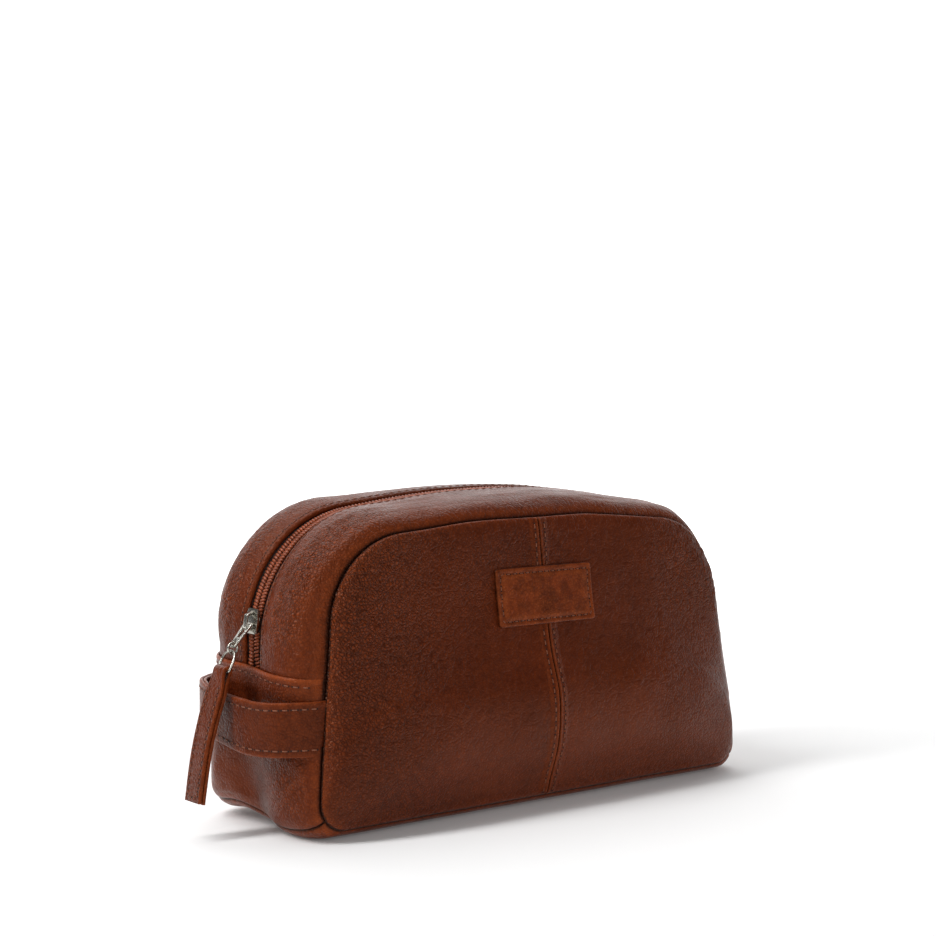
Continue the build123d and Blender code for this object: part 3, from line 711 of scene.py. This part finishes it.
def face_panel(end, side, name, node):
    """Half of the front or back leather: rings from its seam in to its fullest line."""
    paths = spaced(
        (0.0, 0.35), (1.75, 0.8), (8.0, 1.6), (FOOT_PATH, 0.9), (SIDE_PATH, 1.2), (CROWN_PATH, 1.4),
        (END_PATH - 8.0, 0.8), (END_PATH - 1.75, 0.35), (END_PATH, 1.0),
    )
    rings = np.linspace(0, 1, 84) ** 1.7
    r = np.concatenate([np.zeros(len(TUCK)), rings])[:, None]
    tuck = np.concatenate([TUCK, 0 * rings])[:, None]
    flat, out = face_points(end, side, paths[None, :], r, tuck)
    points = settle(flat)
    x, height = np.abs(flat[..., 0]), flat[..., 2]
    on_face = smooth(out, 0.3, 2.0)
    gathers = bump(out, 3.0, 3.5) * smooth(height, 60, 100) * smooth(x, 60, 100)
    # Highlights are painted along the roll beside the seam, on the middle seam's turned edge and the edges of
    # its raised band, and a little over the gathered upper corners.
    wear = 0.5 * bump(out, 1.3, 1.0) + 0.9 * bump(x, 0.9, 0.7) * on_face + 0.25 * bump(x, 4.4, 0.9) * on_face
    wear = wear + 0.12 * gathers
    patchy = noise(flat, 38.0, 64) + 0.5 * smooth(x, 30, 100)
    grain = 0.5 + 0.5 * gathers + 0.3 * smooth(patchy, 0.0, 0.8)
    grain = grain + 0.55 * smooth(x, 35, 90) * smooth(height, 25, 75) * (side < 0)
    shade = np.maximum(seam_shade(out - SEAM_GAP), 0.85 * bump(x, 0, 0.4) * on_face)
    faces = grid_faces(*points.shape[:2], flip=(end * side) < 0)
    return add_mesh(name, points, faces, bag_leather, replaces=[node], wear=wear, grain=grain, shade=shade)


gusset_front = gusset(-1, "gusset_leather_front", "top_gusset_front")
gusset_rear = gusset(1, "gusset_leather_rear", "top_gusset_rear")
end_left = end_panel(-1, "end_leather_left", "end_panel_left")
end_right = end_panel(1, "end_leather_right", "end_panel_right")
base_panel()
front_left = face_panel(-1, -1, "front_leather_left", "front_panel_left")
front_right = face_panel(-1, 1, "front_leather_right", "front_panel_right")
back_left = face_panel(1, -1, "back_leather_left", "back_panel_left")
back_right = face_panel(1, 1, "back_leather_right", "back_panel_right")

# ---- Curves, ribbons, stitches and beads ---------------------------------------------------------


def curve_through(points, step):
    """A smooth curve through points, sampled about every step."""
    knots = np.array(points, float)
    padded = np.vstack([2 * knots[0] - knots[1], knots, 2 * knots[-1] - knots[-2]])
    curve = []
    for a, b, c, d in zip(padded, padded[1:], padded[2:], padded[3:]):
        count = max(2, int(round(np.linalg.norm(c - b) / step)))
        t = np.arange(count)[:, None] / count
        curve.append(
            0.5 * (2 * b + (c - a) * t + (2 * a - 5 * b + 4 * c - d) * t**2 + (3 * b - a - 3 * c + d) * t**3)
        )
    curve.append(knots[-1:])
    return np.vstack(curve)


def unit(vectors):
    return vectors / np.maximum(np.linalg.norm(vectors, axis=-1, keepdims=True), 1e-9)


def resample(points, pitch):
    """Points every pitch along a line of points."""
    lengths = np.concatenate([[0], np.cumsum(np.linalg.norm(np.diff(points, axis=0), axis=1))])
    count = max(2, int(lengths[-1] // pitch))
    at = (np.arange(count) + 0.5) * lengths[-1] / count
    return np.stack([np.interp(at, lengths, points[:, axis]) for axis in range(3)], -1)


def ribbon_section(half_width, half_thick):
    """The outline of a strip of leather with softly rounded edges and a shallow groove for each stitch line.

    It gives points as (across the width, through the thickness), and how rubbed each one is.
    """
    across = np.array([1, 0.985, 0.94, 0.86, 0.78, 0.72, 0.64, 0.4, 0.13])
    height = np.array([0.35, 0.75, 0.95, 1, 0.93, 0.86, 0.95, 1.0, 1.02])
    rubbed = np.array([1, 0.9, 0.45, 0.12, 0, 0, 0, 0.04, 0.06])
    across, height = np.concatenate([across, -across[::-1]]), np.concatenate([height, height[::-1]])
    rubbed = np.concatenate([rubbed, rubbed[::-1]])
    across, height = np.concatenate([across, across[::-1]]), np.concatenate([height, -height[::-1]])
    return across * half_width, height * half_thick, np.concatenate([rubbed, rubbed[::-1]])


def ribbon(name, line, thickness_way, width_way, half_width, half_thick, material, ragged=0.12, **facts):
    """A strip of leather along a line, closed at both ends."""
    half_width = np.broadcast_to(half_width, len(line))
    rows = []
    for point, out, along, half in zip(line, thickness_way, width_way, half_width):
        across, height, rubbed = ribbon_section(half, half_thick)
        rows.append(point + across[:, None] * along + height[:, None] * out)
    points = np.array(rows)
    points = points + ragged * np.stack([noise(points, 6.0, seed) for seed in (81, 82, 83)], -1)
    columns = points.shape[1]
    faces = grid_faces(*points.shape[:2], wrap_columns=True)
    last = (len(line) - 1) * columns
    faces.append(tuple(range(columns))[::-1])
    faces.append(tuple(last + i for i in range(columns)))
    wear = 0.8 * rubbed[None, :] + 0 * points[..., 0]
    return add_mesh(name, points, faces, material, wear=wear, grain=0.6 + 0 * wear, **facts)


def snap(tree, points, outward):
    """The nearest points of a surface, and its normals there on the outward side."""
    places, normals = [], []
    for point, way in zip(points, np.broadcast_to(outward, points.shape)):
        place, normal, _, _ = tree.find_nearest(Vector(point))
        places.append(place)
        normals.append(normal if normal.dot(Vector(way)) > 0 else -normal)
    return np.array(places, float), np.array(normals, float)


def stitches(name, places, normals, length=2.7, width=0.62, body="bag"):
    """A row of stitches: short arched threads that dip into a needle hole at each end."""
    tangents = unit(np.gradient(places, axis=0))
    normals = unit(normals - tangents * np.sum(normals * tangents, -1, keepdims=True))
    across = np.cross(tangents, normals)
    t, o, b = tangents[:, None, None], normals[:, None, None], across[:, None, None]
    along = np.linspace(-1, 1, 7)[None, :, None, None]
    around = np.radians(np.arange(6) * 60.0)[None, None, :, None]
    thick = width / 2 * np.sqrt(1 - 0.85 * along**2)
    rise = 0.16 - 0.42 * along**4
    threads = places[:, None, None] + t * along * length / 2 + b * thick * np.cos(around)
    threads = threads + o * (rise + 0.8 * thick * np.sin(around))
    # A dark disc at each end of a stitch paints the shade inside its needle hole.
    ends = np.array([-1.0, 1.0])[None, :, None, None]
    holes = places[:, None, None] + t * ends * (length / 2 + 0.06) + o * 0.06
    holes = holes + 0.44 * (t * np.cos(around) + b * np.sin(around))
    faces = repeated(grid_faces(7, 6, wrap_columns=True), 42, len(places))
    thread_faces, start = len(faces), 42 * len(places)
    faces += [tuple(start + 6 * i + c for c in range(6)) for i in range(2 * len(places))]
    points = np.concatenate([threads.reshape(-1, 3), holes.reshape(-1, 3)])
    row = add_mesh(name, points, faces, stitch_thread, body=body)
    row.data.materials.append(needle_hole_shade)
    for polygon in row.data.polygons[thread_faces:]:
        polygon.material_index = 1
    return row


def stitch_on(name, tree, line, outward, pitch=4.3, **sizes):
    places, normals = snap(tree, resample(np.asarray(line, float), pitch), outward)
    return stitches(name, places, normals, **sizes)


# ---- The seams' stitches -------------------------------------------------------------------------

front_tree = surface_tree(front_left, front_right)
back_tree = surface_tree(back_left, back_right)
LABEL_HALF_WIDTH, LABEL_HALF_HEIGHT, LABEL_Z = 28.5, 13.25, 98.6
SEAM_STITCH_X, SEAM_PITCH = 2.9, 4.3


def middle_row(name, tree, end, x, low, high):
    """A row of stitches up the front (end -1) or the back (end 1)."""
    places, normals = [], []
    for height in np.arange(low, high, SEAM_PITCH):
        place, normal, _, _ = tree.ray_cast(Vector((x, 90.0 * end, height)), Vector((0, -end, 0)))
        places.append(place)
        normals.append(normal if normal.y * end > 0 else -normal)
    stitches(name, np.array(places), np.array(normals), length=2.5)


ROW_FOOT, ROW_TOP = 8, 132
BELOW_LABEL, ABOVE_LABEL = LABEL_Z - LABEL_HALF_HEIGHT - 1, LABEL_Z + LABEL_HALF_HEIGHT + 1
for name, x in (("left", -SEAM_STITCH_X), ("right", SEAM_STITCH_X)):
    middle_row(f"front_seam_stitches_low_{name}", front_tree, -1, x, ROW_FOOT, BELOW_LABEL)
    middle_row(f"front_seam_stitches_top_{name}", front_tree, -1, x, ABOVE_LABEL, ROW_TOP)
    middle_row(f"back_seam_stitches_{name}", back_tree, 1, x, ROW_FOOT, ROW_TOP)

for name, piece, end in (("front", gusset_front, -1), ("rear", gusset_rear, 1)):
    laps = np.linspace(LIP_STITCHES_FROM, mirrored(LIP_STITCHES_FROM), 300)
    path, side = lap_to_path(laps)
    line = settle(shell(path, end * share_at(path, LIP_Y[end] + 2.1), 0.0, side))
    rows = resample(line, SEAM_PITCH)
    ways = unit(rows - np.array([0, 0, 60.0]))
    places, normals = snap(surface_tree(piece), rows, ways)
    stitches(f"zip_lip_stitches_{name}", places, normals, length=2.6, width=0.5)

HEM_STITCH_DROP = 3.4
for name, piece, side, reach in (("left", end_left, -1, 0.96), ("right", end_right, 1, 0.88)):
    shares = np.linspace(-reach, reach, 60)
    line = settle(shell(hem_path(shares, HEM_STITCH_DROP), shares, -1.6, side))
    stitch_on(f"hem_stitches_{name}", surface_tree(piece), line, (side, 0, 0.2), length=2.7)

# ---- The label -----------------------------------------------------------------------------------


def depths_at(tree, x, z, start, way):
    """Where lines along Y from a start meet a surface, at points (x, z)."""
    lines = zip(x.ravel(), z.ravel())
    return np.array([tree.ray_cast(Vector((a, start, b)), Vector((0, way, 0)))[0].y for a, b in lines])


def label_surface():
    """A smooth fit to the front where the label lies: y from x and height."""
    x, z = np.meshgrid(np.linspace(-30, 30, 9), np.linspace(LABEL_Z - 14, LABEL_Z + 14, 5))
    y = depths_at(front_tree, x, z, -90, 1)

    def terms(a, b):
        b = b - LABEL_Z
        return np.stack([1 + 0 * a, a, b, a * a, b * b, a * b], -1)

    weights = np.linalg.lstsq(terms(x.ravel(), z.ravel()), y, rcond=None)[0]
    return lambda a, b: terms(a, b) @ weights


def label_ring(inset):
    """Points round a rounded rectangle, moved in from the label's edge."""
    half_width, half_height = LABEL_HALF_WIDTH - inset, max(LABEL_HALF_HEIGHT - inset, 0.0)
    round_edge = max(1.6 - inset, 0.3)
    corners = ((1, 1, 0), (-1, 1, 90), (-1, -1, 180), (1, -1, 270))

    def on_corner(sx, sz, degrees):
        x = sx * (half_width - round_edge) + round_edge * math.cos(math.radians(degrees))
        return x, sz * (half_height - round_edge) + round_edge * math.sin(math.radians(degrees))

    points = []
    for index, (sx, sz, turn) in enumerate(corners):
        points += [on_corner(sx, sz, turn + degrees) for degrees in (0, 22.5, 45, 67.5, 90)]
        nx, nz, _ = corners[(index + 1) % 4]
        count = 34 if nx != sx else 16
        start, stop = points[-1], on_corner(nx, nz, turn + 90)
        for i in range(1, count):
            t = i / count
            points.append((start[0] + (stop[0] - start[0]) * t, start[1] + (stop[1] - start[1]) * t))
    return np.array(points)


surface_y = label_surface()
LABEL_ROWS = (
    (0.0, -0.9), (0.0, 0.45), (0.2, 0.85), (0.6, 1.08), (1.2, 1.15), (1.9, 1.02), (2.5, 0.86), (3.1, 1.04),
    (4.0, 1.18),
)
label_points = []
shrunk = [(4.0, 1.2, scale) for scale in (0.86, 0.7, 0.54, 0.38, 0.22, 0.08, 0.001)]
for inset, lift, scale in [(inset, lift, 1.0) for inset, lift in LABEL_ROWS] + shrunk:
    ring = label_ring(inset) * scale
    x, z = ring[:, 0], LABEL_Z + ring[:, 1]
    label_points.append(np.stack([x, surface_y(x, z) - 0.3 - lift, z], -1))
label_points = np.array(label_points)
label_points[..., 1] += 0.16 * noise(label_points, 5.0, 91) + 0.2 * noise(label_points, 14.0, 92)
edge = np.array([inset for inset, _ in LABEL_ROWS] + [9.0] * len(shrunk))[:, None]
label = add_mesh(
    "label_leather",
    label_points,
    grid_faces(*label_points.shape[:2], wrap_columns=True, flip=True),
    label_leather,
    replaces=["label_patch"],
    wear=0.2 * bump(edge, 0.8, 0.5) + 0.25 * bump(edge, 3.8, 1.2) + 0 * label_points[..., 0],
    shade=0.6 * smooth(edge, 0.3, 0.0) + 0 * label_points[..., 0],
    grain=0.6 + 0 * label_points[..., 0],
)
ring = label_ring(2.5)
ring = np.vstack([ring, ring[:1]])
line = np.stack([ring[:, 0], surface_y(ring[:, 0], LABEL_Z + ring[:, 1]) - 1.6, LABEL_Z + ring[:, 1]], -1)
stitch_on("label_stitches", surface_tree(label), line, (0, -1, 0), pitch=3.7, length=2.0, width=0.5)

# ---- The strap -----------------------------------------------------------------------------------

STRAP_PLAN = (
    (-119.0, -39.6), (-125.5, -39.2), (-133.0, -36.2), (-140.5, -30.0), (-145.4, -20.0), (-147.0, -8.0),
    (-147.2, 6.0), (-146.2, 19.0), (-141.6, 30.0), (-133.0, 37.0), (-125.0, 39.6), (-119.0, 39.8),
)
strap_line = curve_through([(x, y, 0) for x, y in STRAP_PLAN], 1.4)
strap_way = unit(np.gradient(strap_line, axis=0))
strap_out = np.stack([-strap_way[:, 1], strap_way[:, 0], 0 * strap_way[:, 0]], -1)
strap_out *= -np.sign(strap_out[len(strap_out) // 2, 0])
strap_y = strap_line[:, 1]
strap_low = STRAP_FOOT_Z - 1.0 + 3.2 * smooth(strap_y, -35, 25) + 0.5 * np.sin(strap_y / 9)
strap_high = STRAP_TOP_Z - 0.4 + 3.0 * smooth(strap_y, -10, 34) - 0.8 * bump(strap_y, -24, 12)
strap_up = np.tile([0.0, 0.0, 1.0], (len(strap_line), 1))


def strap_layer(name, node, depth, narrower):
    """One of the strap's two layers of leather, a depth under its outer line."""
    line = strap_line - strap_out * depth
    line[:, 2] = (strap_low + strap_high) / 2
    half = (strap_high - strap_low) / 2 - narrower
    return ribbon(name, line, strap_out, strap_up, half, 0.78, tab_leather, replaces=[node])


strap_tree = surface_tree(strap_layer("strap_leather", "handle_strap", 0.8, 0.0))
strap_layer("strap_backing", "handle_strap_backing", 2.45, 0.15)
inside = slice(4, len(strap_line) - 4)
for name, heights in (("low", strap_low + 3.0), ("high", strap_high - 3.0)):
    line = strap_line.copy()
    line[:, 2] = heights
    rows = resample(line[inside], 4.2)
    ways = unit(rows * (1, 1, 0) - np.array([-125.0, 0, 0]))
    places, normals = snap(strap_tree, rows, ways)
    stitches(f"strap_stitches_{name}", places, normals, length=2.8)

# ---- The leather pull ----------------------------------------------------------------------------

PULL_HINGE = (-147.448, 72.208)
PULL_ANGLE = math.radians(17)
PULL_LENGTH = 58.0
PULL_FOLD = (
    (57.4, 0.97), (45.0, 0.97), (30.0, 0.97), (15.0, 0.97), (8.0, 0.98), (4.0, 1.2), (0.6, 1.6),
    (-0.95, 1.4), (-1.7, 0.0), (-0.95, -1.4), (0.6, -1.6), (4.0, -1.2), (8.0, -0.98),
    (15.0, -0.97), (30.0, -0.97), (45.0, -0.97), (57.4, -0.97),
)


def pull_points(down, out, across=0.0):
    """Points of the pull from its ring: down along it, out to its front, and across."""
    down, out, across = np.broadcast_arrays(down, out, across)
    share = np.clip(down / PULL_LENGTH, 0, 1)
    out = out + 1.5 * np.sin(math.pi * share) - 2.6 * share**2
    x = PULL_HINGE[0] - down * math.sin(PULL_ANGLE) - out * math.cos(PULL_ANGLE)
    z = PULL_HINGE[1] - down * math.cos(PULL_ANGLE) + out * math.sin(PULL_ANGLE)
    return np.stack([x, across + 0 * x, z], -1)


fold = curve_through([(down, out, 0) for down, out in PULL_FOLD], 1.0)
fold_line = pull_points(fold[:, 0], fold[:, 1])
fold_way = unit(np.gradient(fold_line, axis=0))
fold_out = np.stack([-fold_way[:, 2], 0 * fold_way[:, 0], fold_way[:, 0]], -1)
fold_across = np.tile([0.0, 1.0, 0.0], (len(fold_line), 1))
half = 4.4 + 1.8 * smooth(fold[:, 0], 1.5, 10)
pull = ribbon(
    "pull_leather", fold_line, fold_out, fold_across, half, 0.86, tab_leather, ragged=0.1,
    replaces=["pull_tab"], body="pull",
)
pull_tree = surface_tree(pull)
downs = np.linspace(7, 55.5, 40)
for face_name, out in (("front", 2.2), ("back", -2.2)):
    ways = np.sign(out) * np.array([-math.cos(PULL_ANGLE), 0, math.sin(PULL_ANGLE)])
    for edge_name, turn in (("left", -1), ("right", 1)):
        across = turn * (2.5 + 1.7 * smooth(downs, 1.5, 12))
        line = pull_points(downs, out, across)
        row_name = f"pull_stitches_{face_name}_{edge_name}"
        stitch_on(row_name, pull_tree, line, ways, pitch=3.6, length=2.1, width=0.5, body="pull")
    across = np.linspace(-3.0, 3.0, 8)
    line = pull_points(55.6, out, across)
    row_name = f"pull_stitches_{face_name}_foot"
    stitch_on(row_name, pull_tree, line, ways, pitch=3.0, length=1.8, width=0.5, body="pull")

# ---- The zip -------------------------------------------------------------------------------------

SLIDER_LAP = 205.0
BEAD_PITCH = 1.65


def tape(end, name, node):
    """A woven tape that carries a row of coils, with a selvedge at its inner edge."""
    laps = spaced((TAPE_FROM, 1.5), (mirrored(TAPE_FROM), 1.0))[:, None]
    section_y = np.array([0.15, 0.4, 2.0, 4.6, 5.0, 5.6, 9.0, 13.0, 13.0, 9.0, 5.0, 0.5])
    section_depth = np.array([3.3, 3.02, 3.02, 3.0, 2.85, 3.0, 3.05, 3.05, 3.65, 3.65, 3.65, 3.62])
    points = settle(zip_points(laps, end * section_y[None, :], section_depth[None, :]))
    faces = grid_faces(*points.shape[:2], wrap_columns=True, flip=end > 0)
    return add_mesh(name, points, faces, tape_weave, slot="zip_tape", replaces=[node])


def coil(end, name, node):
    """A row of coil loops: slanted beads that lock with the other row, and part below the slider."""
    laps = np.arange(COIL_FROM, mirrored(COIL_FROM), BEAD_PITCH) + (0.5 * BEAD_PITCH if end > 0 else 0)
    part = 0.75 * smooth(laps, SLIDER_LAP, SLIDER_LAP - 5)
    middle = settle(zip_points(laps, end * (COIL_Y + part), COIL_DEPTH))
    ahead = unit(settle(zip_points(laps + 1, end * (COIL_Y + part), COIL_DEPTH)) - middle)
    up = unit(np.cross(ahead, (0.0, 1.0, 0.0)))
    up *= np.sign(np.sum(up * (middle - (0, 0, 60)), -1, keepdims=True))
    across = np.cross(up, ahead) * end
    across *= np.sign(across[:, 1:2]) * end
    slanted = unit(across + 0.24 * ahead)
    along = np.cos(np.radians(np.linspace(0, 180, 9)))[None, :, None, None]
    around = np.radians(np.arange(8) * 45.0)[None, None, :, None]
    thick = np.sqrt(np.maximum(1 - np.abs(along) ** 2.6, 0))
    points = middle[:, None, None] + slanted[:, None, None] * along * 1.75
    points = points + thick * 0.74 * np.cos(around) * ahead[:, None, None]
    points = points + thick * 1.0 * np.sin(around) * up[:, None, None]
    faces = repeated(grid_faces(9, 8, wrap_columns=True), 72, len(laps))
    return add_mesh(name, points, faces, coil_material, slot="zip_coil", replaces=[node])


tape(-1, "zip_tape_front", "zipper_tape_front")
tape(1, "zip_tape_rear", "zipper_tape_rear")
coil(-1, "zip_coil_front", "zipper_coil_front")
coil(1, "zip_coil_rear", "zipper_coil_rear")


def polished(node, body, rounding, settled=False):
    """A copy of a metal piece of the frame with rounded edges, moved with the leather if it is settled."""
    work = bmesh.new()
    work.from_mesh(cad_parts[node].data)
    bmesh.ops.remove_doubles(work, verts=work.verts, dist=0.01 * MM)
    bmesh.ops.dissolve_limit(work, angle_limit=math.radians(1.5), verts=work.verts, edges=work.edges)
    if rounding:
        least = math.radians(30)
        sharp = [edge for edge in work.edges if edge.is_manifold and edge.calc_face_angle(0) > least]
        bmesh.ops.bevel(
            work,
            geom=sharp,
            offset=rounding * MM,
            offset_type="OFFSET",
            segments=3,
            profile=0.5,
            affect="EDGES",
            clamp_overlap=True,
        )
    bmesh.ops.triangulate(work, faces=[face for face in work.faces if len(face.verts) > 4])
    points = [vertex.co / MM for vertex in work.verts]
    work.verts.index_update()
    faces = [[vertex.index for vertex in face.verts] for face in work.faces]
    work.free()
    if settled:
        points = settle(np.array(points, float))
    copy = add_mesh(f"{node}_polished", points, faces, metal, body=body, slot="metal", replaces=[node])
    copy.data.set_sharp_from_angle(angle=math.radians(42))


polished("slider_body", "slider", 0.3)
polished("slider_crown", "slider", 0.3)
polished("puller_link", "puller", 0.25)
polished("jump_ring", "rings", 0.0)
polished("pull_ring", "rings", 0.0)
polished("zipper_top_stops", "bag", 0.2, settled=True)
polished("zipper_bottom_stop", "bag", 0.2, settled=True)

# ---- The lining ----------------------------------------------------------------------------------

CLOTH = 0.6
LINING_DEPTH, LINING_FACE_DEPTH, LINING_FLOOR_Z = 3.75, 2.6, 2.6
LINING_SHARE = 0.965  # how near the lining goes to the seams
LINING_TOP_Y = 13.3  # and to the zip's middle


def cloth(name, points, thickness_way, nodes):
    """A sheet of lining with the cloth's thickness, closed round its rim."""
    rows, columns = points.shape[:2]
    both = np.concatenate([points.reshape(-1, 3), (points + CLOTH * thickness_way).reshape(-1, 3)])
    faces, under = grid_faces(rows, columns), rows * columns
    faces += [tuple(under + c for c in reversed(face)) for face in faces]
    rim = list(range(columns))
    rim += [i * columns + columns - 1 for i in range(1, rows)]
    rim += [(rows - 1) * columns + j for j in range(columns - 2, -1, -1)]
    rim += [i * columns for i in range(rows - 2, 0, -1)]
    faces += [(a, under + a, under + b, b) for a, b in zip(rim, rim[1:] + rim[:1])]
    add_mesh(name, both, faces, lining_weave, slot="lining", replaces=nodes)


def inward(points):
    return unit(np.array([0.0, 0.0, 55.0]) - points)


for end, name in ((-1, "front"), (1, "rear")):
    laps = spaced((LINING_TOP_FROM, 3.0), (mirrored(LINING_TOP_FROM), 1.0))
    path, side = lap_to_path(laps)
    inner = share_at(path, LINING_TOP_Y)[:, None]
    shares = LINING_SHARE + (inner - LINING_SHARE) * np.linspace(0, 1, 12)[None, :]
    points = settle(shell(path[:, None], end * shares, LINING_DEPTH, side[:, None]))
    cloth(f"lining_cloth_top_{name}", points, inward(points), [f"lining_top_{name}"])

laps = spaced((-LINING_BASE_TO, 2.5), (LINING_BASE_TO, 1.0))[:, None]
shares = np.linspace(-LINING_SHARE, LINING_SHARE, 36)[None, :]
points = settle(shell(np.abs(laps), shares, LINING_DEPTH, np.where(laps < 0, -1.0, 1.0)))
points[..., 2] = np.maximum(points[..., 2], LINING_FLOOR_Z)
cloth("lining_cloth_base_and_ends", points, inward(points), ["lining_base_and_ends"])

for end, name in ((-1, "front"), (1, "back")):
    halves = []
    r = (np.linspace(0.04, 1, 26) ** 1.3)[:, None]
    for side, paths in ((-1, spaced((0.0, 4.0), (END_PATH, 1.0))), (1, spaced((END_PATH, 4.0), (0.0, 1.0)))):
        flat, _ = face_points(end, side, paths[None, :], r, 0.0, LINING_FACE_DEPTH)
        halves.append(settle(flat))
    points = np.concatenate(halves, 1)
    cloth(f"lining_cloth_{name}", points, inward(points), [f"lining_{name}"])

POCKET_HALF_WIDTH, POCKET_FOOT_Z, POCKET_TOP_Z = 70.0, 30.0, 95.0
back_lining_tree = surface_tree(bpy.data.objects["lining_cloth_back"])
widths = np.linspace(-POCKET_HALF_WIDTH, POCKET_HALF_WIDTH, 36)
x, z = np.meshgrid(widths, np.linspace(POCKET_FOOT_Z, POCKET_TOP_Z, 18))
y = depths_at(back_lining_tree, x, z, 0, 1).reshape(x.shape)
slack = 1.1 + 0.9 * smooth(z, 60, 95) * (1 + 0.4 * np.sin(x / 12))
points = np.stack([x, y - slack, z], -1)
cloth("inner_pocket_cloth", points, np.array([0.0, -1.0, 0.0]), ["inner_pocket"])

# ---- Stage ---------------------------------------------------------------------------------------


def stage_sheet():
    """A white floor that curves up behind the bag."""
    ahead = np.array([math.sin(math.radians(CAMERA_HEADING)), math.cos(math.radians(CAMERA_HEADING))])
    across = np.array([ahead[1], -ahead[0]])
    turn_radius, floor_end, wall_top = 0.6, 1.6, 2.6
    line = [(-2.5, 0.0), (0.0, 0.0), (floor_end, 0.0)]
    line += [
        (floor_end + turn_radius * math.sin(a), turn_radius * (1 - math.cos(a)))
        for a in np.radians(np.linspace(0, 90, 19)[1:])
    ]
    line.append((floor_end + turn_radius, wall_top))
    points = []
    for distance, height in line:
        for sideways in (-3.0, 3.0):
            spot = ahead * distance + across * sideways
            points.append((spot[0], spot[1], height))
    mesh = bpy.data.meshes.new("studio_floor")
    mesh.from_pydata(points, [], grid_faces(len(line), 2))
    mesh.polygons.foreach_set("use_smooth", [True] * len(mesh.polygons))
    sheet = place("studio_floor", mesh)
    s = Shader("studio_white", Roughness=0.9, Specular_IOR_Level=0.0, Emission_Color=(1, 1, 1, 1))
    way = (ahead[0], ahead[1], 0)
    distance = s.node("VectorMath", {0: s.place, 1: way}, "Value", operation="DOT_PRODUCT")
    s.finish(Base_Color=(0.93, 0.93, 0.93, 1), Emission_Strength=s.stretch(distance, 0.15, 1.2, 0.08, 0.85))
    mesh.materials.append(s.material)


def softbox(name, at, aim, size, power):
    data = bpy.data.lights.new(name, "AREA")
    data.shape = "RECTANGLE"
    data.size, data.size_y = size
    data.energy = power
    place(name, data, at, (Vector(aim) - Vector(at)).to_track_quat("-Z", "Y").to_euler())


stage_sheet()
softbox("key_light", (-0.98, 0.15, 1.15), (0, 0, 0.08), (0.26, 1.1), 15)
softbox("top_light", (0.2, 0.5, 1.6), (0, 0, 0.0), (1.6, 1.4), 13)
softbox("front_light", (-0.7, -1.5, 0.8), (0, 0, 0.08), (0.6, 0.5), 4.2)

world = bpy.data.worlds.new("studio")
world.use_nodes = True
world.node_tree.nodes["Background"].inputs["Color"].default_value = (1, 1, 1, 1)
world.node_tree.nodes["Background"].inputs["Strength"].default_value = 0.15
bpy.context.scene.world = world
bpy.context.scene.view_settings.view_transform = "Standard"
